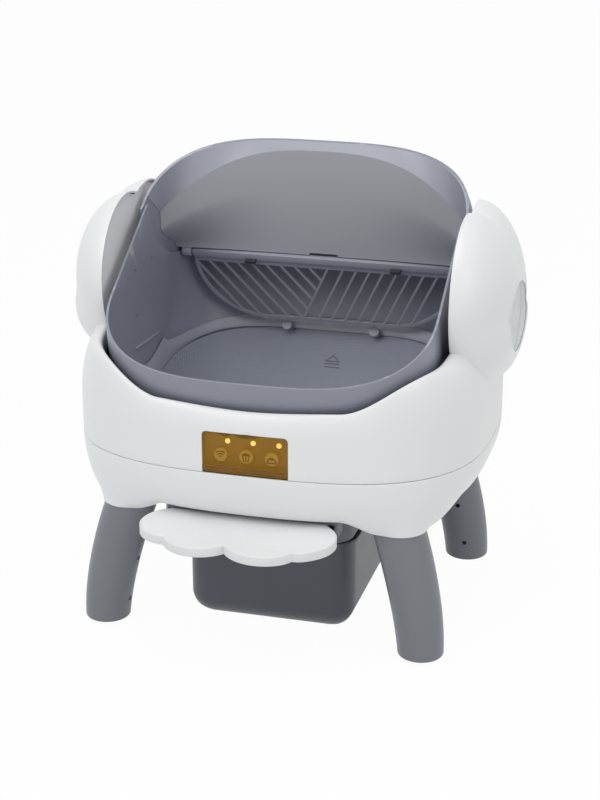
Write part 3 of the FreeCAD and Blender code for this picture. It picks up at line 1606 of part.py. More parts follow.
FLOOR_Y = "-base_half_depth + fascia_depth"
TRAY_INSET = "wall + window_half_width ^ 2 / (2 * front_crown) + 2 * seat_gap"
tray_outer = block(
    "TrayOuter",
    ("-window_half_width - tray_wall", f"-base_half_depth + {TRAY_INSET}", "seam_height"),
    (
        "2 * window_half_width + 2 * tray_wall",
        f"fascia_depth + fascia_thickness - ({TRAY_INSET})",
        "window_top - seam_height + tray_wall",
    ),
)
tray_room = block(
    "TrayRoom",
    ("-window_half_width", "-base_half_depth", "seam_height + tray_wall"),
    ("2 * window_half_width", "fascia_depth", "window_top - seam_height - tray_wall"),
)
hinge_room = rod(
    "HingeRoom",
    "cover_hinge_depth + cover_gap",
    "2 * window_half_width",
    ("-window_half_width", "-base_half_depth + cover_hinge_depth", "seam_height + cover_hinge_rise"),
)
tools = [tray_room, hinge_room]
BUTTONS = {"left": -1, "middle": 0, "right": 1}
lights = []
for side, place in BUTTONS.items():
    x = f"{place} * button_spacing"
    hole_start = f"{FLOOR_Y} - 1"
    hole = rod(f"ButtonHole{side.title()}", "button_radius + seat_gap", "fascia_thickness + 2",
               (x, hole_start, "button_height"), "Y")
    led_x = f"{x} + led_offset_x"
    led_hole = rod(f"LightHole{side.title()}", "led_radius", "fascia_thickness + 2",
                   (led_x, hole_start, "led_height"), "Y")
    tools += [hole, led_hole]
    lights.append(
        rod(f"Light{side.title()}", "led_radius", "fascia_thickness + 1", (led_x, hole_start, "led_height"), "Y")
    )
    cap = rod(f"ButtonCap{side.title()}", "button_radius", "button_length",
              (x, f"{FLOOR_Y} - button_rise", "button_height"), "Y")
    chamfer = document.addObject("Part::Chamfer", f"ButtonEdge{side.title()}")
    chamfer.Base = cap
    document.recompute()
    front_edge = min(
        range(len(cap.Shape.Edges)), key=lambda index: cap.Shape.Edges[index].BoundBox.Center.y
    )
    chamfer.Edges = [(front_edge + 1, 0.8, 0.8)]
    node(f"button_{side}", chamfer)
tray = cut("TrayPierced", tray_outer, fuse("TrayTools", *tools))
posts = []
for x in (-1, 1):
    for z in ("seam_height + 3 * board_margin", "window_top - 2 * board_margin"):
        posts.append(
            rod(f"BoardPost{len(posts)}", "board_margin * 0.6", "board_standoff",
                (f"{x} * (window_half_width - 2 * board_margin)", f"{FLOOR_Y} + fascia_thickness", z), "Y")
        )
node("panel_fascia", fuse("Fascia", tray, *posts))
node("indicator_lights", group("Lights", *lights))
board = block(
    "Board",
    (
        "-window_half_width + board_margin",
        f"{FLOOR_Y} + fascia_thickness + board_standoff",
        "seam_height + 2 * board_margin",
    ),
    ("2 * window_half_width - 2 * board_margin", "board_thickness", "window_top - seam_height - 3 * board_margin"),
)
node("control_board", board)

# Check every piece, then write them all

document.recompute()
for item in document.Objects:
    if "Invalid" in item.State or "Error" in item.State:
        raise RuntimeError(f"{item.Name} failed: {item.State}")
for item in NODES:
    if item.Shape.isNull() or not item.Shape.isValid() or item.Shape.Volume <= 0:
        raise RuntimeError(f"{item.Label} has no sound shape")
for item in NODES:
    item.Shape.exportStep(f"parts/{item.Label}.step")
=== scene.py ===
"""The looks of a self-cleaning litter box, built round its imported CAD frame."""

import json
import logging
import math
from collections.abc import Iterator
from contextlib import contextmanager
from dataclasses import dataclass
from enum import Enum
from typing import ClassVar

import bmesh
import bpy
import numpy as np
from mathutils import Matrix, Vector


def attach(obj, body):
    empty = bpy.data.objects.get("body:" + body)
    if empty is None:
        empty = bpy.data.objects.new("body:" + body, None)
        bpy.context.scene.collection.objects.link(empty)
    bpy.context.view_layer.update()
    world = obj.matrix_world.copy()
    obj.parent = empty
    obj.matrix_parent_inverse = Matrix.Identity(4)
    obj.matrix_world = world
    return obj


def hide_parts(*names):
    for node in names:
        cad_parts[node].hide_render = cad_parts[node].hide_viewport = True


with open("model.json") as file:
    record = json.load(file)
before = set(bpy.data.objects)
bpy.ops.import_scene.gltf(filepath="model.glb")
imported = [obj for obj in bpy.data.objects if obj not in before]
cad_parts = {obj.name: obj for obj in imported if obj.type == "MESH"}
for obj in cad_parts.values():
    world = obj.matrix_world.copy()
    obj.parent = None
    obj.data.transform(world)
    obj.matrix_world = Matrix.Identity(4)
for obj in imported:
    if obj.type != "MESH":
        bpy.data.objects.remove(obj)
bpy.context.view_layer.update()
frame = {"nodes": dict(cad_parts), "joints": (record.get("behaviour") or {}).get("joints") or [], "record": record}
LOG = logging.getLogger("litter_box")

MM = 0.001
WELD_REACH = 0.02 * MM
SPECK = 0.005 * MM
SPIN_AXIS = next(joint["pos_m"] for joint in frame["joints"] if joint["name"] == "drum_spin")
AXIS_Y = SPIN_AXIS[1]
AXIS_Z = SPIN_AXIS[2] / MM
TURN = 2 * math.pi
QUARTER = math.pi / 2
SIDES = (("left", -1), ("right", 1))
Paint = tuple[float, float, float, float]
Piece = bpy.types.Object
Tree = bpy.types.NodeTree
Socket = bpy.types.NodeSocket


# Small sums on arrays


def smooth_step(share: np.ndarray) -> np.ndarray:
    """Ease from 0 to 1: 3t^2 - 2t^3 with t held between 0 and 1."""
    held = np.clip(share, 0.0, 1.0)
    return held * held * (3 - 2 * held)


def soft_max(items: list[np.ndarray], power: float) -> np.ndarray:
    """The largest of several positive arrays with its joins rounded: (a^p + b^p + ...)^(1/p)."""
    top = np.max(items, axis=0)
    return top * sum((item / top) ** power for item in items) ** (1 / power)


def oval_reach(angle: np.ndarray, half_x: float, half_y: float, power: float) -> np.ndarray:
    """How far a superellipse reaches in each direction: (|cos/a|^n + |sin/b|^n)^(-1/n)."""
    across = np.abs(np.cos(angle) / half_x) ** power
    along = np.abs(np.sin(angle) / half_y) ** power
    return (across + along) ** (-1 / power)


def circle_reach(angle: np.ndarray, x: float, y: float, radius: float) -> np.ndarray:
    """Far crossing of a ray from the origin with a circle: c.u + sqrt(R^2 - |c|^2 + (c.u)^2)."""
    along = x * np.cos(angle) + y * np.sin(angle)
    return along + np.sqrt(np.maximum(radius**2 - x**2 - y**2 + along**2, 1.0))


def compass(count: int) -> np.ndarray:
    """As many angles, evenly round a full turn."""
    return np.linspace(0, TURN, count, endpoint=False)


def to_row(points: np.ndarray) -> np.ndarray:
    """Millimetres, with Y from the drum's axis, made metres in the frame that the CAD uses."""
    moved = np.array(points, dtype=float) * MM
    moved[..., 1] += AXIS_Y
    return moved


# Meshes


def grid_faces(rows: int, columns: int, ring_rows: bool = False, ring_columns: bool = False) -> np.ndarray:
    """Corner numbers of the quads between neighbouring rows and columns of a grid of points.

    Args:
        rows: How many rows the grid has.
        columns: How many columns it has.
        ring_rows: Whether the last row joins the first.
        ring_columns: Whether the last column joins the first.

    Returns:
        One row of four corner numbers for each quad.
    """
    steps = (np.arange(rows if ring_rows else rows - 1), np.arange(columns if ring_columns else columns - 1))
    row, column = np.meshgrid(*steps, indexing="ij")
    here = row * columns
    below = (row + 1) % rows * columns
    beside = (column + 1) % columns
    return np.stack([here + column, here + beside, below + beside, below + column], axis=-1).reshape(-1, 4)


def new_piece(name: str, points: np.ndarray, faces: list) -> Piece:
    """A mesh object from points in millimetres and lists of corner numbers."""
    mesh = bpy.data.meshes.new(name)
    mesh.from_pydata(to_row(points).reshape(-1, 3).tolist(), [], faces)
    mesh.update()
    piece = bpy.data.objects.new(name, mesh)
    bpy.context.scene.collection.objects.link(piece)
    return piece


@contextmanager
def editing(piece: Piece) -> Iterator[bmesh.types.BMesh]:
    """A piece's mesh in a form that can be edited, put back afterwards."""
    body = bmesh.new()
    body.from_mesh(piece.data)
    yield body
    body.to_mesh(piece.data)
    body.free()


def weld(piece: Piece, outward: bool = True) -> Piece:
    """Merge points that meet, and turn the faces of a closed shape outwards."""
    with editing(piece) as body:
        bmesh.ops.remove_doubles(body, verts=body.verts, dist=WELD_REACH)
        bmesh.ops.dissolve_degenerate(body, edges=body.edges, dist=SPECK)
        if outward:
            bmesh.ops.recalc_face_normals(body, faces=body.faces)
    return piece


def slice_body(body: bmesh.types.BMesh, place: Vector, normal: Vector, clear: bool = False) -> None:
    """Cut all faces along a plane, and take away what its normal points to where that is asked."""
    everything = [*body.verts, *body.edges, *body.faces]
    bmesh.ops.bisect_plane(body, geom=everything, plane_co=place, plane_no=normal, clear_outer=clear)


def surface(name: str, grid: np.ndarray, ring_rows: bool = False, ring_columns: bool = True) -> Piece:
    """A welded mesh over a grid of points that faces outwards.

    Args:
        name: The piece's name.
        grid: Points in millimetres, rows by columns by three.
        ring_rows: Whether the last row joins the first.
        ring_columns: Whether the last column joins the first.

    Returns:
        The new object.
    """
    faces = grid_faces(*grid.shape[:2], ring_rows, ring_columns)
    return weld(new_piece(name, grid, faces.tolist()))


def joined(name: str, parts: list[tuple[np.ndarray, list]]) -> Piece:
    """One welded piece from several meshes, each given as its points and its faces."""
    points, faces, count = [], [], 0
    for grid, corners in parts:
        points.append(grid.reshape(-1, 3))
        faces += [[corner + count for corner in face] for face in corners]
        count += len(points[-1])
    return weld(new_piece(name, np.concatenate(points), faces))


def capped(name: str, first: np.ndarray, second: np.ndarray) -> Piece:
    """A closed solid between two rings of as many points, with a flat face at each end."""
    count = len(first)
    ends = [list(range(count)), list(range(count, 2 * count))]
    faces = grid_faces(2, count, ring_columns=True).tolist() + ends
    return weld(new_piece(name, np.concatenate([first, second]), faces))


def prism(name: str, outline: np.ndarray, reach: float) -> Piece:
    """A side-view outline of (y, z) corners carried across from -reach to reach in X."""
    return capped(name, *(np.column_stack([np.full(len(outline), x), outline]) for x in (-reach, reach)))


def rod(name: str, start: tuple, end: tuple, radius: float, sides: int = 48) -> Piece:
    """A round bar between two points in millimetres: circles square to its length."""
    low, high = np.array(start, float), np.array(end, float)
    along = (high - low) / np.linalg.norm(high - low)
    steep = abs(along[2]) >= 0.9
    first = np.cross(along, [1.0, 0.0, 0.0] if steep else [0.0, 0.0, 1.0])
    first /= np.linalg.norm(first)
    second = np.cross(along, first)
    turn = compass(sides)
    ring = radius * (np.outer(np.cos(turn), first) + np.outer(np.sin(turn), second))
    return capped(name, low + ring, high + ring)


def egg(name: str, centre: tuple, radii: tuple, rings: int = 25, sides: int = 48) -> Piece:
    """An ellipsoid: latitude and longitude circles scaled along each axis."""
    latitude = np.linspace(-QUARTER, QUARTER, rings)[:, None]
    longitude = compass(sides)[None, :]
    level = np.sin(latitude) * np.ones_like(longitude)
    across = np.cos(latitude) * np.cos(longitude)
    grid = np.stack([across, np.cos(latitude) * np.sin(longitude), level], axis=-1)
    return surface(name, grid * np.array(radii) + np.array(centre))


def settle(piece: Piece) -> Piece:
    """Make a piece's modifiers part of its mesh."""
    graph = bpy.context.evaluated_depsgraph_get()
    mesh = bpy.data.meshes.new_from_object(piece.evaluated_get(graph))
    piece.modifiers.clear()
    piece.data = mesh
    return piece


def modified(piece: Piece, kind: str, **settings) -> Piece:
    """Run one modifier on a piece, with its settings, and keep the result."""
    change = piece.modifiers.new("change", kind)
    for label, value in settings.items():
        setattr(change, label, value)
    return settle(piece)


def thicken(piece: Piece, depth: float) -> Piece:
    """Give an open sheet a wall on the side that its faces turn away from."""
    return modified(piece, "SOLIDIFY", thickness=depth * MM, offset=-1.0, use_even_offset=True)


class Cut(Enum):
    """What a tool does to a piece."""

    AWAY = "DIFFERENCE"
    KEEP = "INTERSECT"
    JOIN = "UNION"


def carve(piece: Piece, tool: Piece, how: Cut = Cut.AWAY) -> Piece:
    """Cut a piece with a tool, which is then thrown away."""
    modified(piece, "BOOLEAN", operation=how.value, solver="EXACT", object=tool)
    bpy.data.objects.remove(tool)
    return piece


@dataclass(frozen=True)
class Edge:
    """How sharp edges are rounded: a width in millimetres, the round's steps and the least angle."""

    width: float
    steps: int = 2
    angle: float = 40.0

    def soften(self, piece: Piece) -> Piece:
        """Round the sharp edges of a piece."""
        return modified(piece, "BEVEL", width=self.width * MM, segments=self.steps, limit_method="ANGLE",
                        angle_limit=math.radians(self.angle), use_clamp_overlap=True, miter_outer="MITER_ARC")


def shade(piece: Piece, angle: float) -> None:
    """Smooth shading, with a hard line only where faces meet at more than an angle."""
    mesh = piece.data
    mesh.polygons.foreach_set("use_smooth", np.ones(len(mesh.polygons), dtype=bool))
    mesh.set_sharp_from_angle(angle=math.radians(angle))
    mesh.update()


def face_along(piece: Piece, axis: int, sign: int) -> None:
    """Turn an open sheet's faces over if most of them look away from one end of an axis."""
    mesh = piece.data
    normals = np.empty(len(mesh.polygons) * 3)
    mesh.polygons.foreach_get("normal", normals)
    if normals.reshape(-1, 3)[:, axis].sum() * sign < 0:
        mesh.flip_normals()


def copied(name: str, node: str) -> Piece:
    """A merged copy of a CAD node's mesh."""
    piece = bpy.data.objects.new(name, frame["nodes"][node].data.copy())
    piece.data.materials.clear()
    bpy.context.scene.collection.objects.link(piece)
    return weld(piece, outward=False)


# Finishes


def tone(red: int, green: int, blue: int) -> Paint:
    """A screen colour of 0 to 255 as the linear colour that shaders use: the sRGB curve undone."""
    values = np.array([red, green, blue]) / 255.0
    linear = np.where(values <= 0.04045, values / 12.92, ((values + 0.055) / 1.055) ** 2.4)
    return (*linear.tolist(), 1.0)


def feed(tree: Tree, socket: Socket, value) -> None:
    """Link a socket to the one given, or set its value."""
    if isinstance(value, Socket):
        tree.links.new(value, socket)
    else:
        socket.default_value = value


def new_group(name: str, inputs: dict[str, tuple], outputs: dict[str, str]) -> Tree:
    """An empty shader group.

    Args:
        name: The group's name.
        inputs: Each input's name with its socket type and its usual value.
        outputs: Each output's name with its socket type.

    Returns:
        The group, with its input and output nodes named enter and leave.
    """
    group = bpy.data.node_groups.new(name, "ShaderNodeTree")
    for label, (kind, value) in inputs.items():
        group.interface.new_socket(label, in_out="INPUT", socket_type=kind).default_value = value
    for label, kind in outputs.items():
        group.interface.new_socket(label, in_out="OUTPUT", socket_type=kind)
    group.nodes.new("NodeGroupInput").name = "enter"
    group.nodes.new("NodeGroupOutput").name = "leave"
    return group


def add_node(tree: Tree, kind: str, settings: dict | None = None, **inputs) -> bpy.types.Node:
    """Put a node in a tree, set its properties, and link or set its inputs by name."""
    item = tree.nodes.new(kind)
    for label, value in (settings or {}).items():
        setattr(item, label, value)
    for label, value in inputs.items():
        feed(tree, item.inputs[label.replace("_", " ")], value)
    return item


def arithmetic(tree: Tree, kind: str, first, second=0.0) -> Socket:
    """The result of a sum on sockets or numbers."""
    item = add_node(tree, "ShaderNodeMath", {"operation": kind})
    feed(tree, item.inputs[0], first)
    feed(tree, item.inputs[1], second)
    return item.outputs[0]


def noise(tree: Tree, scale, detail: float) -> Socket:
    """A noise on Object coordinates."""
    place = add_node(tree, "ShaderNodeTexCoord").outputs["Object"]
    return add_node(tree, "ShaderNodeTexNoise", Vector=place, Scale=scale, Detail=detail).outputs[0]


def swing(tree: Tree, source: Socket, amount, middle) -> Socket:
    """A noise made to swing about a middle: middle + (source - 0.5) amount."""
    spread = arithmetic(tree, "MULTIPLY", arithmetic(tree, "SUBTRACT", source, 0.5), amount)
    return arithmetic(tree, "ADD", spread, middle)


def moulded_skin() -> Tree:
    """The skin of a moulded plastic: faint cloudiness in its colour and gloss, and a fine grain.

    The colour is darkened and lightened by a broad noise, the roughness by a middling one, and the height is
    a fine noise, all on Object coordinates.
    """
    group = new_group(
        "moulded skin",
        {
            "Color": ("NodeSocketColor", (0.5, 0.5, 0.5, 1.0)),
            "Cloud": ("NodeSocketFloat", 0.04),
            "Roughness": ("NodeSocketFloat", 0.4),
            "Streak": ("NodeSocketFloat", 0.06),
            "Grain Size": ("NodeSocketFloat", 900.0),
        },
        {"Color": "NodeSocketColor", "Roughness": "NodeSocketFloat", "Height": "NodeSocketFloat"},
    )
    enter = group.nodes["enter"].outputs
    leave = group.nodes["leave"].inputs
    light = swing(group, noise(group, scale=7.0, detail=2.0), enter["Cloud"], middle=1.0)
    bright = add_node(group, "ShaderNodeHueSaturation", Color=enter["Color"], Value=light).outputs[0]
    feed(group, leave["Color"], bright)
    gloss = swing(group, noise(group, scale=60.0, detail=3.0), enter["Streak"], enter["Roughness"])
    feed(group, leave["Roughness"], gloss)
    feed(group, leave["Height"], noise(group, enter["Grain Size"], detail=1.0))
    return group


def painted_edge_light() -> Tree:
    """Painted edge light: a pointiness mask broken up by noise; pale edge colours paint highlights, dark ones
    shade.
    """
    start, gain = 0.53, 9.0
    group = new_group(
        "painted edge light",
        {
            "Color": ("NodeSocketColor", (0.5, 0.5, 0.5, 1.0)),
            "Edge Color": ("NodeSocketColor", (0.8, 0.8, 0.8, 1.0)),
            "Amount": ("NodeSocketFloat", 0.3),
        },
        {"Color": "NodeSocketColor"},
    )
    enter = group.nodes["enter"].outputs
    # Convex edges take the edge colour: a painted highlight where it is paler, painted shade where it is darker.
    point = add_node(group, "ShaderNodeNewGeometry").outputs["Pointiness"]
    edge = arithmetic(group, "MULTIPLY", arithmetic(group, "SUBTRACT", point, start), gain)
    broken = arithmetic(group, "MULTIPLY", edge, noise(group, scale=90.0, detail=4.0))
    held = add_node(group, "ShaderNodeClamp", Value=broken).outputs[0]
    mix = add_node(group, "ShaderNodeMix", {"data_type": "RGBA"})
    share = arithmetic(group, "MULTIPLY", held, enter["Amount"])
    for number, value in ((0, share), (6, enter["Color"]), (7, enter["Edge Color"])):
        feed(group, mix.inputs[number], value)
    feed(group, group.nodes["leave"].inputs["Color"], mix.outputs[2])
    return group


def pimples() -> Tree:
    """Small raised dots on rings about a centre, as on a moulded mat.

    The height is the product of a sine of the distance from the centre and a sine of the angle about it times
    a whole number of dots.
    """
    group = new_group(
        "mat pimples",
        {"Pitch": ("NodeSocketFloat", 0.0032), "Around": ("NodeSocketFloat", 220.0)},
        {"Height": "NodeSocketFloat"},
    )
    enter = group.nodes["enter"].outputs
    place = add_node(group, "ShaderNodeTexCoord").outputs["Object"]
    moved = add_node(group, "ShaderNodeMapping", Vector=place, Location=(-0.12, -0.12, 0.0)).outputs[0]
    split = add_node(group, "ShaderNodeSeparateXYZ", Vector=moved).outputs
    squares = [arithmetic(group, "MULTIPLY", split[number], split[number]) for number in (0, 1)]
    far = arithmetic(group, "SQRT", arithmetic(group, "ADD", *squares))
    wave = arithmetic(group, "MULTIPLY", arithmetic(group, "DIVIDE", far, enter["Pitch"]), TURN)
    turn = arithmetic(group, "MULTIPLY", arithmetic(group, "ARCTAN2", split[1], split[0]), enter["Around"])
    height = arithmetic(group, "MULTIPLY", arithmetic(group, "SINE", wave), arithmetic(group, "SINE", turn))
    feed(group, group.nodes["leave"].inputs["Height"], height)
    return group


SKIN = moulded_skin()
# The shared group of painted edge light.
EDGE_LIGHT = painted_edge_light()
PIMPLES = pimples()


@dataclass(frozen=True)
class Finish:
    """A moulded or metal finish, with its colour, gloss, grain and painted edge light."""

    name: str
    color: Paint
    roughness: float = 0.42
    metallic: float = 0.0
    coat: float = 0.0
    cloud: float = 0.05
    streak: float = 0.07
    grain_size: float = 900.0
    grain_depth: float = 0.05
    # Edge colour and amount of the painted edge light: a paler colour paints a highlight, a darker one shade.
    edge_light_color: Paint = (0.8, 0.8, 0.82, 1.0)
    edge_light_amount: float = 0.25
    cover: float = 1.0
    glow: float = 0.0
    pimpled: bool = False

    def material(self) -> bpy.types.Material:
        """The material, built once and then shared."""
        return bpy.data.materials.get(self.name) or self.build()

    def build(self) -> bpy.types.Material:
        """Wire the shared groups into a new material with this finish's own values."""
        made = bpy.data.materials.new(self.name)
        made.use_nodes = True
        tree = made.node_tree
        skin = add_node(tree, "ShaderNodeGroup", {"node_tree": SKIN}, Color=self.color, Cloud=self.cloud,
                        Roughness=self.roughness, Streak=self.streak, Grain_Size=self.grain_size)
        # Painted edge light over the moulded skin's colour.
        edge_lit = add_node(tree, "ShaderNodeGroup", {"node_tree": EDGE_LIGHT}, Color=skin.outputs["Color"],
                        Edge_Color=self.edge_light_color, Amount=self.edge_light_amount)
        height = skin.outputs["Height"]
        if self.pimpled:
            height = add_node(tree, "ShaderNodeGroup", {"node_tree": PIMPLES}).outputs["Height"]
        bump = add_node(tree, "ShaderNodeBump", Height=height, Strength=self.grain_depth, Distance=0.0006)
        values = {
            "Base Color": edge_lit.outputs["Color"],
            "Roughness": skin.outputs["Roughness"],
            "Normal": bump.outputs[0],
            "Metallic": self.metallic,
            "Coat Weight": self.coat,
            "Coat Roughness": 0.25,
            "Alpha": self.cover,
            "Emission Color": self.color,
            "Emission Strength": self.glow,
            "IOR": 1.46,
        }
        for label, value in values.items():
            feed(tree, tree.nodes["Principled BSDF"].inputs[label], value)
        return made


# Paler edge colours paint highlights on edges; the darker ones of the amber cover and the fascia paint shade.
WHITE = Finish("satin white", tone(236, 237, 238), 0.36, coat=0.12, cloud=0.012, edge_light_amount=0.0)
INNER_WHITE = Finish("inner white", tone(228, 229, 230), 0.5, cloud=0.02, edge_light_amount=0.0)
TREAD_WHITE = Finish("tread white", tone(233, 234, 235), 0.5, cloud=0.02, grain_size=420.0, grain_depth=0.5,
                     edge_light_amount=0.0)
# Paler edge colour: a painted highlight on the drum's and liner's edges.
PALE_EDGE_HIGHLIGHT = tone(205, 208, 216)
DRUM_GREY = Finish("drum grey", tone(142, 146, 158), 0.36, coat=0.1, edge_light_color=PALE_EDGE_HIGHLIGHT, edge_light_amount=0.5)
# A paler copy of the drum grey: painted highlight and sheen on the hood liner, which is the same grey plastic.
LIT_LINER_GREY = Finish("liner grey painted highlight", tone(172, 174, 180), 0.34, coat=0.12, edge_light_color=PALE_EDGE_HIGHLIGHT)
MARK_GREY = Finish("mark grey", tone(92, 96, 108), 0.5, edge_light_amount=0.0)
# A paler copy of the drum grey for the liner's band and the mat's ledge: painted light on them.
LIT_BAND_GREY = Finish("hood band grey painted light", tone(162, 165, 175), 0.36, coat=0.1, edge_light_color=tone(195, 198, 206))
SIEVE_GREY = Finish("sieve grey", tone(158, 162, 172), 0.42, edge_light_color=tone(200, 203, 210), edge_light_amount=0.6)
DARK_GREY = Finish("dark grey", tone(52, 56, 66), 0.5, edge_light_color=tone(110, 114, 124))
MAT_BLUE = Finish("mat slate", tone(140, 145, 158), 0.5, grain_depth=0.3, edge_light_amount=0.0, pimpled=True)
LEG_GREY = Finish("leg grey", tone(121, 123, 130), 0.4, coat=0.06, edge_light_amount=0.1)
BIN_SLATE = Finish("bin slate", tone(78, 81, 91), 0.42, coat=0.06, edge_light_color=tone(140, 143, 152))
CRADLE_GREY = Finish("cradle grey", tone(96, 100, 110), 0.5)
RUBBER = Finish("foot rubber", tone(28, 28, 29), 0.75, grain_depth=0.2, edge_light_color=tone(70, 70, 70))
# The cover's and fascia's darker edge colours are painted shade on their edges.
AMBER = Finish("amber cover", tone(196, 140, 14), 0.14, cloud=0.03, cover=0.2, edge_light_color=tone(120, 84, 16),
               edge_light_amount=0.6)
FASCIA = Finish("fascia ochre", tone(148, 114, 26), 0.42, edge_light_color=tone(110, 78, 22), edge_light_amount=0.6)
BUTTON = Finish("button ochre", tone(196, 158, 58), 0.36, coat=0.1, edge_light_color=tone(226, 188, 100),
                edge_light_amount=0.9)
ICON = Finish("icon brown", tone(30, 20, 6), 0.5, edge_light_amount=0.0)
LENS = Finish("light lens", tone(255, 214, 110), 0.18, coat=0.4, edge_light_color=tone(255, 236, 170), glow=1.1)
# Dark brown for the hinge pin and the fascia groove: painted shade in the hinge gap.
SHADE_BROWN = Finish("painted shade brown", tone(92, 58, 14), 0.4, edge_light_amount=0.0)
BOARD = Finish("board green", tone(28, 74, 48), 0.4, coat=0.3)
BLACK = Finish("socket black", tone(32, 32, 34), 0.45)
NYLON = Finish("gear nylon", tone(224, 221, 208), 0.5)
CAN = Finish("motor can", tone(150, 152, 156), 0.35, metallic=0.9, streak=0.2)
SHEET = Finish("bracket sheet", tone(165, 167, 170), 0.32, metallic=0.95, streak=0.25)
ZINC = Finish("screw zinc", tone(168, 170, 174), 0.28, metallic=1.0)
SLOT_FINISHES = {
    "white_plastic": WHITE,
    "grey_plastic": DRUM_GREY,
    "leg_plastic": LEG_GREY,
    "dark_plastic": DARK_GREY,
    "bin_plastic": BIN_SLATE,
    "mat_rubber": MAT_BLUE,
    "black_rubber": RUBBER,
    "amber_plastic": AMBER,
    "fascia_plastic": FASCIA,
    "button_plastic": BUTTON,
    "light_plastic": LENS,
    "board": BOARD,
    "black_plastic": BLACK,
    "gear_plastic": NYLON,
    "motor_metal": CAN,
    "bracket_metal": SHEET,
    "screw_steel": ZINC,
}
FINE_SHADING = 32.0
ROUND_SHADING = 40.0
BROAD_SHADING = 50.0


def dress(
    piece: Piece, finish: Finish, body: str, slot: str, *nodes: str, angle: float = FINE_SHADING
) -> None:
    """Shade and finish a piece, and hand it to the frame.

    Args:
        piece: The object, with its place in its mesh.
        finish: What it is made of.
        body: The CAD body that it moves with.
        slot: The record's material slot.
        nodes: The CAD nodes that it stands for.
        angle: Faces that meet at more than this many degrees keep a hard line, and at 0 all of them.
    """
    if angle > 0:
        shade(piece, angle)
    piece.data.materials.clear()
    piece.data.materials.append(finish.material())
    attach(piece, body)
    if nodes:
        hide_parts(*nodes)
    LOG.info("%s rides on %s", piece.name, body)


# The housing


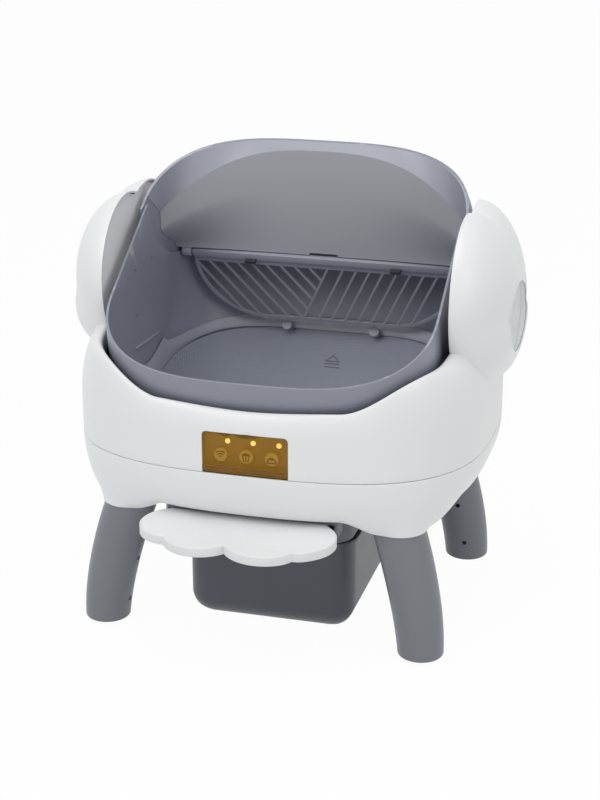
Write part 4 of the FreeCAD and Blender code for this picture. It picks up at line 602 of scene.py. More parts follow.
@dataclass
class BaseHousing:
    """The white upper and lower shells round the drum, in millimetres."""

    half_width: float = 268.5
    half_depth: float = 232.0
    plan_power: float = 2.95
    mouth_half_width: float = 225.0
    mouth_half_depth: float = 216.0
    mouth_power: float = 4.15
    seam: float = 250.0
    seam_gap: float = 0.45
    belly: float = 300.0
    bottom: float = 192.0
    saddle: float = 330.0
    saddle_bow: float = 7.0
    bow_run: float = 140.0
    shoulder_rise: float = 42.0
    rise_start: float = 114.0
    rise_run: float = 102.0
    shoulder_crown: float = 13.0
    crown_start: float = -150.0
    crown_run: float = 100.0
    lip: float = 4.0
    flange: float = 25.0
    flange_bend: float = 10.0
    inner_gap: float = 0.12
    wall: float = 3.0
    side_tuck: float = 20.0
    front_tuck: float = 15.0
    socket_depth: float = 20.0
    socket_radius: float = 35.5
    socket_start: float = 33.0
    socket_fade: float = 52.0
    socket_blend: float = 60.0
    leg_x: float = 178.0
    leg_front: float = -156.0
    leg_rear: float = 138.0
    chute_middle: float = -56.0
    chute_half_width: float = 114.0
    chute_half_depth: float = 112.0
    chute_power: float = 6.0
    seat_room: float = 6.6
    seat_columns: int = 144
    window_half_width: float = 54.8
    window_top: float = 304.4
    window_corner: float = 6.0
    window_overlap: float = 4.0
    corner_steps: int = 9
    window_reach: tuple[float, float] = (-250.0, -221.0)
    scoop_place: tuple[float, float, float] = (2.0, -237.0, 305.0)
    scoop_radii: tuple[float, float, float] = (13.0, 6.0, 7.0)
    upper_edge: Edge = Edge(0.9, 2, 50.0)
    lower_edge: Edge = Edge(0.5, 2, 55.0)
    wall_rings: int = 8
    crown_rings: int = 30
    lip_rings: int = 6
    inner_rings: int = 12
    tuck_rings: int = 24
    under_rings: int = 34
    angle: ClassVar[np.ndarray] = compass(288)

    def outer(self) -> np.ndarray:
        """How far the outer wall reaches in each direction."""
        return oval_reach(self.angle, self.half_width, self.half_depth, self.plan_power)

    def mouth(self) -> np.ndarray:
        """How far the opening for the drum reaches in each direction."""
        return oval_reach(self.angle, self.mouth_half_width, self.mouth_half_depth, self.mouth_power)

    def rim_height(self) -> np.ndarray:
        """Height of the rim: low at front and rear, easing up to the shoulders as |x| grows."""
        reach = self.mouth()
        x = np.abs(reach * np.cos(self.angle))
        bow = self.saddle_bow * smooth_step(x / self.bow_run)
        up = smooth_step((x - self.rise_start) / self.rise_run)
        along = smooth_step((reach * np.sin(self.angle) - self.crown_start) / self.crown_run)
        return self.saddle + bow + self.shoulder_rise * up + self.shoulder_crown * along * up

    def upper_grid(self) -> np.ndarray:
        """Rows of rings that go up the outer wall, over the lip, down the flange and back inside.

        Over the belly each ring's radius runs from the outer wall's to the mouth's along a quarter ellipse:
        r = crest + (outer - crest) cos t, z = belly + (rim - belly) sin t.
        """
        outer = self.outer()
        mouth = self.mouth()
        rim = self.rim_height()
        crest = mouth + self.lip
        low = self.seam + self.seam_gap
        flat = np.ones_like(outer)
        wall = np.linspace(low, self.belly, self.wall_rings, endpoint=False)
        rings = [(outer, flat * height) for height in wall]
        for turn in np.linspace(0, QUARTER, self.crown_rings):
            height = self.belly + (rim - self.belly) * math.sin(turn)
            rings.append((crest + (outer - crest) * math.cos(turn), height))
        for turn in np.linspace(0, QUARTER, self.lip_rings)[1:]:
            rings.append((crest - self.lip * math.sin(turn), rim - self.lip * (1 - math.cos(turn))))
        rings += [(mouth, rim - depth) for depth in (self.flange_bend, self.flange)]
        rings += [(mouth + self.wall, rim - depth) for depth in (self.flange, self.lip + self.wall)]
        for turn in np.linspace(QUARTER - self.inner_gap, 0, self.inner_rings):
            height = self.belly + (rim - self.wall - self.belly) * math.sin(turn)
            rings.append((crest + (outer - self.wall - crest) * math.cos(turn), height))
        rings.append((outer - self.wall, flat * low))
        radius, height = map(np.array, zip(*rings))
        return np.stack([radius * np.cos(self.angle), radius * np.sin(self.angle), height], axis=-1)

    def upper_shell(self) -> Piece:
        """The upper shell with the window cut in its front and the thumb scoop over it."""
        shell = surface("upper_housing", self.upper_grid(), ring_rows=True)
        half = self.window_half_width
        low = self.seam - self.window_overlap
        turn = np.linspace(0, QUARTER, self.corner_steps)
        arch_x = half - self.window_corner + self.window_corner * np.cos(turn)
        arch_z = self.window_top - self.window_corner + self.window_corner * np.sin(turn)
        x = np.concatenate([[half], arch_x, -arch_x[::-1], [-half]])
        z = np.concatenate([[low], arch_z, arch_z[::-1], [low]])
        sides = [np.column_stack([x, np.full_like(x, y), z]) for y in self.window_reach]
        carve(shell, capped("window_tool", *sides))
        carve(shell, egg("scoop_tool", self.scoop_place, self.scoop_radii))
        return self.upper_edge.soften(shell)

    def lower_grid(self) -> np.ndarray:
        """Rows of rings that go down the outer wall, in under the housing to the chute, and back inside.

        The wall is r = outer - tuck (1 - cos t), z = seam - depth sin t, and bulges out round each leg. Under
        it each point slides in a straight line from the outer ring to the chute's. The leg sockets are smooth
        dips round each leg's axis.
        """
        legs = [(x, y) for y in (self.leg_front, self.leg_rear) for x in (-self.leg_x, self.leg_x)]
        sockets = [circle_reach(self.angle, x, y, self.socket_radius) for x, y in legs]
        outer = self.outer()
        tuck = self.front_tuck + self.side_tuck * np.cos(self.angle) ** 2
        top = self.seam - self.seam_gap
        depth = top - self.bottom
        flat = np.ones_like(outer)
        circle = np.stack([np.cos(self.angle), np.sin(self.angle)], axis=-1)
        hole = oval_reach(self.angle, self.chute_half_width, self.chute_half_depth, self.chute_power)
        chute = circle * hole[:, None] + np.array([0.0, self.chute_middle])
        rings = []
        for turn in np.linspace(0, QUARTER, self.tuck_rings):
            reach = soft_max([outer - tuck * (1 - math.cos(turn)), *sockets], self.socket_blend)
            rings.append((circle * reach[:, None], flat * (top - depth * math.sin(turn))))
        walls = len(rings)
        edge = rings[-1][0]
        under = np.linspace(0, 1, self.under_rings)[1:]
        rings += [(edge + (chute - edge) * share, flat * self.bottom) for share in under]
        outside = len(rings)
        inner = circle * (outer - tuck - self.wall)[:, None]
        floor = flat * (self.bottom + self.wall)
        rings += [(inner + (chute - inner) * share, floor) for share in np.linspace(1, 0, self.wall_rings)]
        for turn in np.linspace(QUARTER, 0, self.wall_rings)[1:]:
            reach = outer - self.wall - tuck * (1 - math.cos(turn))
            rings.append((circle * reach[:, None], flat * (top - (depth - self.wall) * math.sin(turn))))
        plan, height = map(np.array, zip(*rings))
        dip = np.zeros_like(height)
        for x, y in legs:
            near = np.hypot(plan[..., 0] - x, plan[..., 1] - y)
            dip = np.maximum(dip, 1 - smooth_step((near - self.socket_start) / self.socket_fade))
        dip[:walls] = dip[walls - 1]
        dip[outside:] = 0.0
        share = (self.seam - height) / (self.seam - self.bottom)
        return np.dstack([plan, height - self.socket_depth * dip * share])

    def lower_shell(self) -> Piece:
        """The lower shell with its four leg sockets and the opening for the drop chute."""
        shell = surface("lower_housing", self.lower_grid(), ring_rows=True)
        carve(shell, surface("seat_tool", Drum.bowl.inset(-self.seat_room).grid(self.seat_columns)))
        return self.lower_edge.soften(shell)

    def build(self) -> None:
        """Make both shells and hand them to the frame."""
        dress(self.upper_shell(), WHITE, "base", "white_plastic", "base_upper_shell")
        dress(self.lower_shell(), WHITE, "base", "white_plastic", "base_lower_shell")


@dataclass
class Cradle:
    """The grey cradle and drop chute that lie under the drum."""

    room: float = 2.0

    def build(self) -> None:
        """Take the CAD's cradle and press its hollow out, so that it follows the fuller drum."""
        cradle = copied("cradle_seat", "drum_cradle")
        mesh = cradle.data
        place = np.empty(len(mesh.vertices) * 3)
        mesh.vertices.foreach_get("co", place)
        place = place.reshape(-1, 3)
        x = place[:, 0] / MM
        middle = np.array([AXIS_Y, AXIS_Z * MM])
        away = np.hypot(*(place[:, 1:] - middle).T) / MM
        plain = Drum.plain.radius_at(x)
        pressed = np.where(away > plain + self.room, away + Drum.bowl.radius_at(x) - plain, away)
        place[:, 1:] = middle + (place[:, 1:] - middle) * (pressed / away)[:, None]
        mesh.vertices.foreach_set("co", place.ravel())
        mesh.update()
        dress(cradle, CRADLE_GREY, "base", "grey_plastic", "drum_cradle", angle=ROUND_SHADING)


# The pods


@dataclass
class SidePods:
    """The two-lobed domes over the ends of the drum, in millimetres."""

    inner_x: float = 224.5
    outer_x: float = 298.0
    lobe_radius: float = 100.0
    foot_radius: float = 129.0
    front_lobe_y: float = -15.0
    rear_lobe_y: float = 60.0
    lobe_z: float = 440.0
    lobe_blend: float = 90.0
    middle_y: float = 22.5
    foot_z: float = 435.0
    foot_blend: float = 40.0
    blend_start: float = 0.25
    blend_run: float = 0.35
    full_start: float = 0.1
    full_run: float = 0.6
    roundness: float = 1.8
    fullness: float = 1.85
    foot_fullness: float = 3.6
    peak_y: float = 15.0
    peak_z: float = 422.0
    wall: float = 2.5
    cap_x: float = 288.5
    cap_radius: float = 44.8
    hub_radius: float = 45.3
    hub_reach: tuple[float, float] = (268.0, 310.0)
    bore_reach: tuple[float, float] = (260.0, 320.0)
    plate_x: float = 227.5
    plate_inset: float = 4.0
    axle_hole: float = 40.4
    axle_reach: tuple[float, float] = (200.0, 260.0)
    motor_start: float = 252.0
    motor_share: float = 0.84
    dome_rings: int = 52
    cap_columns: int = 128
    axle_sides: int = 64
    dome_edge: Edge = Edge(1.1, 3, 50.0)
    motor_edge: Edge = Edge(0.6)
    angle: ClassVar[np.ndarray] = compass(256)
    plate_rings: ClassVar[tuple] = ((0.0, 0.0), (0.5, 0.0), (0.985, 0.0), (1.0, 0.8), (1.0, 2.6), (0.0, 2.6))
    cap_boss: ClassVar[tuple] = ((0.0, 1.6), (15.0, 1.6), (16.6, 1.0), (17.4, -0.6), (18.6, -1.2))
    cap_rim: ClassVar[tuple] = ((-5.0, -1.2), (-4.0, -0.8), (-3.4, -0.1), (-1.4, 0.0), (-0.4, -0.4),
                                (0.0, -1.4), (0.0, -12.0), (-2.5, -12.0), (-2.5, -4.0))
    cap_back: ClassVar[tuple] = ((0.0, -4.0),)

    @staticmethod
    def axle_rod(name: str, side: int, reach: tuple[float, float], radius: float, sides: int = 96) -> Piece:
        """A round bar on the drum's axis that reaches from one distance to another on one side."""
        return rod(name, *((side * x, 0, AXIS_Z) for x in reach), radius, sides)

    def reach(self, inset: float = 0.0) -> np.ndarray:
        """How far the outline reaches from the pod's middle in each direction.

        It is the soft maximum of the two lobes' circles, and lower down of those and the foot's.
        """
        circles = (
            (self.front_lobe_y, self.lobe_z, self.lobe_radius),
            (self.rear_lobe_y, self.lobe_z, self.lobe_radius),
            (self.middle_y, self.foot_z, self.foot_radius),
        )
        lines = [circle_reach(self.angle, y - self.middle_y, z - self.foot_z, radius - inset)
                 for y, z, radius in circles]
        lower = smooth_step((-np.sin(self.angle) - self.blend_start) / self.blend_run)
        lobes = soft_max(lines[:2], self.lobe_blend)
        return lobes + (soft_max(lines, self.foot_blend) - lobes) * lower

    def dome_grid(self, side: int, inset: float = 0.0) -> np.ndarray:
        """Rings from the rim out to the peak of the dome, drawn in by an inset.

        At share g of its rise a ring has shrunk to (1 - g^k)^(1/m) of the outline, and its middle has moved
        towards the peak by the share that it has lost. The power m is larger below, so that the foot stays
        full.
        """
        share = np.sin(np.linspace(0, QUARTER, self.dome_rings))[:, None]
        below = smooth_step((-np.sin(self.angle) - self.full_start) / self.full_run)
        power = self.fullness + (self.foot_fullness - self.fullness) * below
        left = np.maximum(1 - share**self.roundness, 0.0) ** (1 / power)
        reach = self.reach(inset) * left
        y = self.middle_y + (self.peak_y - self.middle_y) * (1 - left) + reach * np.cos(self.angle)
        z = self.foot_z + (self.peak_z - self.foot_z) * (1 - left) + reach * np.sin(self.angle)
        x = side * (self.inner_x + (self.outer_x - inset - self.inner_x) * share) * np.ones_like(reach)
        return np.stack([x, y, z], axis=-1)

    def shell(self, name: str, side: int) -> Piece:
        """One domed shell with the round opening for its hub cap."""
        dome = surface(name, self.dome_grid(side))
        face_along(dome, 0, side)
        thicken(dome, self.wall)
        carve(dome, self.axle_rod("hub_tool", side, self.hub_reach, self.hub_radius))
        return self.dome_edge.soften(dome)

    def motor(self) -> Piece:
        """The CAD's gear motor with its far end drawn in, so that it stays under the rounder dome."""
        motor = copied("motor_can", "gear_motor")
        for vertex in motor.data.vertices:
            beyond = max(vertex.co.x / MM - self.motor_start, 0.0)
            vertex.co.x -= beyond * (1 - self.motor_share) * MM
        return self.motor_edge.soften(motor)

    def collar(self, name: str, side: int) -> Piece:
        """The short tube that lines the hub's opening: a ring cut off halfway through the dome's wall."""
        inner = self.dome_grid(side, self.wall / 2)
        rows, columns = inner.shape[:2]
        faces = grid_faces(rows, columns, ring_columns=True).tolist() + [list(range(columns))]
        ring = self.axle_rod(name, side, self.hub_reach, self.hub_radius + self.wall)
        carve(ring, self.axle_rod("bore_tool", side, self.bore_reach, self.hub_radius))
        return carve(ring, weld(new_piece("collar_tool", inner, faces)), Cut.KEEP)

    def plate(self, name: str, side: int) -> Piece:
        """The flat inner plate, set a little inside the dome's rim, with the hole for the drum's axle."""
        reach = self.reach(self.plate_inset)
        rings = []
        for share, depth in self.plate_rings:
            y = self.middle_y + reach * share * np.cos(self.angle)
            z = self.foot_z + reach * share * np.sin(self.angle)
            rings.append(np.stack([np.full_like(y, side * (self.plate_x + depth)), y, z], axis=-1))
        made = surface(name, np.array(rings))
        tool = self.axle_rod("axle_tool", side, self.axle_reach, self.axle_hole, self.axle_sides)
        return carve(made, tool)

    def cap(self, name: str, side: int) -> Piece:
        """The hub's cover: a shallow dish turned about the drum's axis, with a rounded rim and a low boss."""
        radius, height = np.array([*self.cap_boss, *self.cap_rim, *self.cap_back]).T[..., None]
        radius[len(self.cap_boss):-len(self.cap_back)] += self.cap_radius
        turn = compass(self.cap_columns)
        x = side * (self.cap_x + height) * np.ones_like(turn)
        return surface(name, np.stack([x, radius * np.cos(turn), AXIS_Z + radius * np.sin(turn)], axis=-1))

    def build(self) -> None:
        """Make both pods with their plates, collars and hub caps, and the motor under the right one."""
        dress(self.motor(), CAN, "base", "motor_metal", "gear_motor", angle=ROUND_SHADING)
        for word, side in SIDES:
            dress(self.shell(f"pod_dome_{word}", side), WHITE, "base", "white_plastic", f"pod_shell_{word}")
            dress(self.collar(f"hub_collar_{word}", side), WHITE, "base", "white_plastic")
            plate = self.plate(f"pod_plate_{word}", side)
            dress(plate, WHITE, "base", "white_plastic", f"pod_inner_plate_{word}")
            cap = self.cap(f"hub_cover_{word}", side)
            dress(cap, INNER_WHITE, "base", "white_plastic", f"hub_cap_{word}")


# The legs


@dataclass
class Legs:
    """Four bowed round legs with screw holes, in millimetres."""

    top_x: float = 178.0
    foot_x: float = 211.0
    top_y: ClassVar[dict[str, float]] = {"front": -156.0, "rear": 138.0}
    splay: float = 12.0
    bow: float = 1.6
    foot_height: float = 6.0
    top: float = 174.0
    socket: float = 167.0
    foot_radius: float = 29.5
    swell: float = 4.8
    swell_power: float = 1.8
    edge: float = 4.0
    hole_radius: float = 3.3
    hole_depth: float = 6.0
    hole_clear: float = 8.0
    hole_sides: int = 24
    rings: int = 34
    edge_rings: int = 7
    columns: int = 72
    hole_heights: tuple[float, float] = (34.0, 92.0)
    left_holes: tuple[float, float] = (1.0, -0.12)
    right_holes: ClassVar[dict[str, tuple[float, float]]] = {"front": (-1.0, 0.24), "rear": (0.12, -1.0)}

    def centre(self, height: np.ndarray, side: int, top_y: float) -> np.ndarray:
        """The bowed middle line: it moves out and away from the top as height falls, with share^1.6."""
        share = np.clip((height - self.foot_height) / (self.socket - self.foot_height), 0.0, 1.0) ** self.bow
        x = side * (self.foot_x - (self.foot_x - self.top_x) * share)
        y = np.sign(top_y) * (abs(top_y) + self.splay * (1 - share))
        return np.stack([x, y, height], axis=-1)

    def grid(self, side: int, top_y: float) -> np.ndarray:
        """Rings up the leg: r = foot + swell (1 - (1 - s)^1.8), with a round lower edge and closed ends."""
        share = np.linspace(0, 1, self.rings)
        body = self.foot_radius + self.swell * (1 - (1 - share) ** self.swell_power)
        height = self.foot_height + self.edge + (self.top - self.foot_height - self.edge) * share
        bend = np.linspace(0, QUARTER, self.edge_rings)[:-1]
        low_radius = self.foot_radius - self.edge + self.edge * np.sin(bend)
        low_height = self.foot_height + self.edge * (1 - np.cos(bend))
        radius = np.concatenate([[0.0], low_radius, body, [0.0]])
        level = np.concatenate([[self.foot_height], low_height, height, [self.top]])
        turn = compass(self.columns)
        ring = np.stack([np.cos(turn), np.sin(turn), np.zeros_like(turn)], axis=-1)
        return self.centre(level, side, top_y)[:, None, :] + radius[:, None, None] * ring[None, :, :]

    def holes(self, leg: Piece, side: int, top_y: float, toward: tuple[float, float]) -> None:
        """Sink the screw holes in a leg, facing a direction in plan."""
        aim = np.array([*toward, 0.0]) / math.hypot(*toward)
        for height in self.hole_heights:
            middle = self.centre(np.array([height]), side, top_y)[0]
            start = middle + aim * (self.foot_radius - self.hole_depth)
            end = middle + aim * (self.foot_radius + self.swell + self.hole_clear)
            carve(leg, rod("hole_tool", start, end, self.hole_radius, self.hole_sides))

    def build(self) -> None:
        """Make the legs, each with two screw holes on its inner or its front side."""
        for depth, top_y in self.top_y.items():
            for word, side in SIDES:
                leg = surface(f"bowed_leg_{depth}_{word}", self.grid(side, top_y))
                self.holes(leg, side, top_y, self.left_holes if side < 0 else self.right_holes[depth])
                dress(leg, LEG_GREY, "base", "leg_plastic", f"leg_{depth}_{word}", angle=ROUND_SHADING)


# The drum


@dataclass(frozen=True)
class Barrel:
    """The outline of a barrel with rounded ends, in millimetres."""

    crown: float
    end: float
    half_length: float
    power: float
    gather: ClassVar[float] = 0.8
    pole_shares: ClassVar[tuple[float, ...]] = (0.0, 0.5, 0.93)

    def inset(self, depth: float) -> "Barrel":
        """The same barrel drawn in all round."""
        return Barrel(self.crown - depth, self.end - depth, self.half_length - depth, self.power)

    def radius_at(self, x: np.ndarray) -> np.ndarray:
        """The barrel's radius at each x: end + (crown - end) sqrt(1 - (|x| / half length)^power)."""
        share = np.clip(np.abs(x) / self.half_length, 0.0, 1.0)
        return self.end + (self.crown - self.end) * np.sqrt(1 - share**self.power)

    def grid(self, columns: int = 216, rows: int = 141) -> np.ndarray:
        """Circles about the drum's axis from end to end, closer where the outline bends, with flat ends."""
        share = np.sin(np.linspace(-QUARTER, QUARTER, rows))
        x = np.sign(share) * np.abs(share) ** self.gather * self.half_length
        radius = self.radius_at(x)
        poles = np.array(self.pole_shares)
        radius = np.concatenate([radius[0] * poles, radius, radius[-1] * poles[::-1]])[:, None]
        x = np.concatenate([np.full(len(poles), x[0]), x, np.full(len(poles), x[-1])])[:, None]
        turn = compass(columns)
        y = radius * np.cos(turn)
        return np.stack([x * np.ones_like(turn), y, AXIS_Z + radius * np.sin(turn)], axis=-1)


@dataclass(frozen=True)
class CadBarrel:
    """The barrel as the CAD draws it: an arc from the crown to the shoulder, then a quarter circle."""

    crown: float
    shoulder: float
    half_length: float
    end_round: float

    def radius_at(self, x: np.ndarray) -> np.ndarray:
        """The radius at each x: a parabola over the belly, less a circle's sagitta beyond it."""
        bend = self.half_length - self.end_round
        far = np.clip(np.abs(x) - bend, 0.0, self.end_round)
        belly = self.crown - (self.crown - self.shoulder) * np.clip(np.abs(x) / bend, 0.0, 1.0) ** 2
        return belly - self.end_round + np.sqrt(self.end_round**2 - far**2)


@dataclass
class Drum:
    """The turning bowl with its hood, liner and mat, in millimetres and, for the mat's turns, degrees."""

    bowl: ClassVar[Barrel] = Barrel(226.0, 115.0, 213.0, 3.3)
    hood: ClassVar[Barrel] = Barrel(229.5, 112.0, 218.5, 3.4)
    plain: ClassVar[CadBarrel] = CadBarrel(226.0, 209.0, 213.0, 98.0)
    bowl_wall: float = 3.0
    hood_wall: float = 3.2
    hood_lap: float = 8.0
    mouth: float = 91.6
    slope: float = 0.62
    seam_y: float = 150.0
    seam_z: float = 145.0
    seam_radius: float = 133.0
    region_far: float = 420.0
    region_half_width: float = 300.0
    region_points: int = 28
    liner_foot_y: float = 142.0
    liner_foot: float = 19.5
    liner_lean: float = 0.091
    liner_dish: float = 37.0
    liner_room: float = 0.1
    liner_least: float = 60.0
    end_room: float = 0.5
    halvings: int = 30
    liner_columns: int = 101
    foot_dish: float = 0.12
    dish_quickness: float = 1.6
    liner_half_width: float = 190.0
    liner_wall: float = 2.3
    crease_top: float = 168.0
    crease_drop: float = 62.0
    crease_power: float = 2.7
    crease_room: float = 4.0
    notch_half_width: float = 20.0
    notch_y: tuple[float, float] = (120.0, 160.0)
    notch_z: tuple[float, float] = (-4.0, 3.0)
    mat_half_width: float = 203.0
    mat_half_sweep: float = 61.0
    mat_middle: float = 270.0
    mat_power: float = 4.5
    mat_wall: float = 2.5
    mat_room: float = 0.15
    mat_columns: int = 121
    mat_rows: int = 101
    ledge_across: tuple[float, float] = (1.004, 0.028)
    ledge_along: tuple[float, float] = (1.01, 0.085)
    ledge_profile: ClassVar[tuple] = ((0.0, 0.2), (0.0, 3.6), (0.1, 4.2), (0.2, 4.4), (0.8, 4.2), (0.93, 3.4),
                                      (1.0, 0.2))
    ledge_columns: int = 360
    mark_x: float = 7.0
    mark_turn: float = 320.5
    mark_raise: float = 0.5
    mark_half: float = 11.0
    mark_head: ClassVar[tuple] = ((-11.0, -2.5), (11.0, -2.5), (0.0, 8.5))
    mark_hollow: ClassVar[tuple] = ((-7.6, -1.0), (7.6, -1.0), (0.0, 6.4))
    mark_bars: ClassVar[tuple] = ((-6.5, -5.2), (-11.5, -10.2))
    bar_top: float = 0.4
    rib_y: tuple[float, float] = (-38.0, 52.0)
    rib_z: tuple[float, float] = (-76.0, -81.0)
    rib_radius: float = 3.2
    rib_sides: int = 20
    rib_sink: float = 1.6
    pivot_x: tuple[float, float] = (190.5, 203.5)
    pivot_place: tuple[float, float] = (142.0, 423.0)
    pivot_radius: float = 7.0
    shell_edge: Edge = Edge(1.1, 3, 48.0)
    mat_edge: Edge = Edge(0.7, 2, 60.0)
    rib_edge: Edge = Edge(1.4, 3)
    pivot_edge: Edge = Edge(1.2, 3)
    stop_edge: Edge = Edge(1.0, 3)

    def mouth_line(self, y: np.ndarray) -> np.ndarray:
        """Height of the drum's mouth over its axis."""
        return self.mouth + self.slope * y

    def below_mouth(self, name: str, barrel: Barrel, wall: float) -> Piece:
        """A barrel's wall up to the plane of the drum's mouth."""
        shell = surface(name, barrel.grid())
        place = Vector(to_row(np.array([0.0, 0.0, AXIS_Z + self.mouth])))
        with editing(shell) as body:
            slice_body(body, place, Vector((0, -self.slope, 1)).normalized(), clear=True)
        return thicken(shell, wall)

    def hood_region(self, shift: float) -> Piece:
        """All that the hood takes in side view: behind an arc from the mouth down to a level line.

        The arc starts where its circle meets the mouth's line, at the lower root of a t^2 + b t + c = 0.
        """
        radius = self.seam_radius + shift
        offset = self.mouth - self.seam_z + self.slope * self.seam_y
        a = 1 + self.slope**2
        b = 2 * self.slope * offset
        c = offset**2 - radius**2
        start_y = self.seam_y + (-b - math.sqrt(b * b - 4 * a * c)) / (2 * a)
        start = math.atan2(self.mouth_line(start_y) - self.seam_z, start_y - self.seam_y) % TURN
        turn = np.linspace(start, 3 * QUARTER, self.region_points)
        arc = np.column_stack([self.seam_y + radius * np.cos(turn), self.seam_z + radius * np.sin(turn)])
        far = self.region_far
        outline = np.concatenate([arc, [[far, arc[-1, 1]], [far, far], [start_y, far]]])
        outline[:, 1] += AXIS_Z
        return prism("hood_region", outline, self.region_half_width)

    def bowl_shell(self) -> Piece:
        """The bowl: the barrel's wall under the mouth and outside the hood."""
        shell = self.below_mouth("bowl_shell", self.bowl, self.bowl_wall)
        return self.shell_edge.soften(carve(shell, self.hood_region(0.0)))

    def hood_shell(self) -> Piece:
        """The hood: its own barrel's wall behind the seam, lapped over the bowl."""
        shell = self.below_mouth("hood_shell", self.hood, self.hood_wall)
        return self.shell_edge.soften(carve(shell, self.hood_region(self.hood_lap), Cut.KEEP))

    def rim_point(self, x: np.ndarray, inner: Barrel) -> tuple[np.ndarray, np.ndarray]:
        """Where the mouth's plane meets the hood's inner face: the rear root of y^2 + mouth(y)^2 = r^2."""
        radius = inner.radius_at(x)
        a = 1 + self.slope**2
        b = 2 * self.slope * self.mouth
        c = self.mouth**2 - radius**2
        y = (-b + np.sqrt(np.maximum(b * b - 4 * a * c, 0.0))) / (2 * a)
        return y, self.mouth_line(y)

    def liner_point(self, x: np.ndarray, level: np.ndarray, inner: Barrel) -> np.ndarray:
        """A point of the liner's face.

        From level 0 to 1 it climbs the dish, y = foot - lean (z - foot) - dish (|x| / w)^3, up to an arched
        crease, z = top - drop (|x| / w)^2.7. The dish starts nearly flat at the foot and deepens as it
        climbs. From 1 to 2 the liner runs straight out to the hood's rim.
        """
        share = np.abs(x) / self.liner_half_width
        rim_y, rim_z = self.rim_point(x, inner)
        crease_z = self.crease_top - self.crease_drop * share**self.crease_power
        crease_z = np.minimum(crease_z, rim_z - self.crease_room)
        climb = np.minimum(level, 1.0)
        dish_z = self.liner_foot + (crease_z - self.liner_foot) * climb
        depth = self.foot_dish + (1 - self.foot_dish) * smooth_step(climb * self.dish_quickness)
        dish_y = self.liner_foot_y - self.liner_lean * (dish_z - self.liner_foot)
        dish_y = dish_y - self.liner_dish * depth * share**3
        out = np.clip(level - 1.0, 0.0, 1.0)
        return np.stack([x, dish_y + (rim_y - dish_y) * out, dish_z + (rim_z - dish_z) * out], axis=-1)

    def liner_sheet(self, name: str, low: float, high: float, rows: int) -> Piece:
        """The liner between two levels, as a sheet with its thickness behind it.

        Each row runs out to where it meets the hood's inner face, found by halving: the largest x at which
        the point is still inside the barrel. Over the crease each row is as wide as the crease.
        """
        inner = self.hood.inset(self.hood_wall + self.liner_room)
        level = np.linspace(low, high, rows)
        near = np.full(rows, self.liner_least)
        far = np.full(rows, inner.half_length - self.end_room)
        for _ in range(self.halvings):
            middle = (near + far) / 2
            point = self.liner_point(middle, level, inner)
            inside = np.hypot(point[:, 1], point[:, 2]) < inner.radius_at(middle)
            near = np.where(inside, middle, near)
            far = np.where(inside, far, middle)
        if low >= 1.0:
            near[:] = near[0]
        x = near[:, None] * np.sin(np.linspace(-QUARTER, QUARTER, self.liner_columns))[None, :]
        grid = self.liner_point(x, np.repeat(level[:, None], x.shape[1], axis=1), inner)
        grid[..., 2] += AXIS_Z
        sheet = surface(name, grid, ring_columns=False)
        face_along(sheet, 1, -1)
        return thicken(sheet, self.liner_wall)

    def notched_dish(self) -> Piece:
        """The liner's dish with the notch in the middle of its foot."""
        low, high = (AXIS_Z + self.liner_foot + z for z in self.notch_z)
        front, back = self.notch_y
        outline = np.array([[front, low], [back, low], [back, high], [front, high]])
        dish = self.liner_sheet("liner_dish", 0.0, 1.0, rows=60)
        return carve(dish, prism("notch_tool", outline, self.notch_half_width))

    def floor_point(self, u: np.ndarray, v: np.ndarray, depth: float) -> np.ndarray:
        """A place over the bowl's wall.

        Args:
            u: Share of the mat's half width across.
            v: Share of the mat's half sweep round the axis.
            depth: How far it stands in from the wall.

        Returns:
            Points in millimetres.
        """
        x = self.mat_half_width * u
        turn = math.radians(self.mat_middle) + math.radians(self.mat_half_sweep) * v
        radius = self.bowl.inset(self.bowl_wall + depth).radius_at(x)
        y = radius * np.cos(turn)
        return np.stack([x * np.ones_like(turn), y, AXIS_Z + radius * np.sin(turn)], axis=-1)

    def mat_grid(self, depth: float) -> np.ndarray:
        """The mat's face: a square of points drawn on to a superellipse, (|u|^n + |v|^n)^(1/n) = 1."""
        across, along = np.meshgrid(np.linspace(-1, 1, self.mat_columns), np.linspace(-1, 1, self.mat_rows))
        most = np.maximum(np.abs(across), np.abs(along))
        reach = (np.abs(across) ** self.mat_power + np.abs(along) ** self.mat_power) ** (1 / self.mat_power)
        draw = np.divide(most, reach, out=np.ones_like(most), where=reach > 0)
        return self.floor_point(across * draw, along * draw, depth)

    def mat(self) -> Piece:
        """The mat as a closed sheet on the bowl's floor."""
        faces = [self.mat_grid(self.mat_room), self.mat_grid(self.mat_wall)]
        rows, columns = faces[0].shape[:2]
        quads = grid_faces(rows, columns)
        edge = np.concatenate([
            np.arange(columns),
            np.arange(1, rows) * columns + columns - 1,
            (rows - 1) * columns + np.arange(columns - 2, -1, -1),
            np.arange(rows - 2, 0, -1) * columns,
        ])
        total = rows * columns
        walls = np.stack([edge, np.roll(edge, -1), np.roll(edge, -1) + total, edge + total], axis=-1)
        skins = np.concatenate([quads, quads + total, walls]).tolist()
        made = new_piece("litter_sheet", np.array(faces), skins)
        return self.mat_edge.soften(weld(made))

    def ledge(self) -> Piece:
        """The raised ledge round the mat: a ring between two superellipses with rounded edges."""
        turn = compass(self.ledge_columns)
        edge = oval_reach(turn, 1.0, 1.0, self.mat_power)
        rings = []
        for share, depth in self.ledge_profile:
            across, along = (start + more * share for start, more in (self.ledge_across, self.ledge_along))
            rings.append(self.floor_point(edge * np.cos(turn) * across, edge * np.sin(turn) * along, depth))
        return surface("mat_ledge", np.array(rings), ring_rows=True)

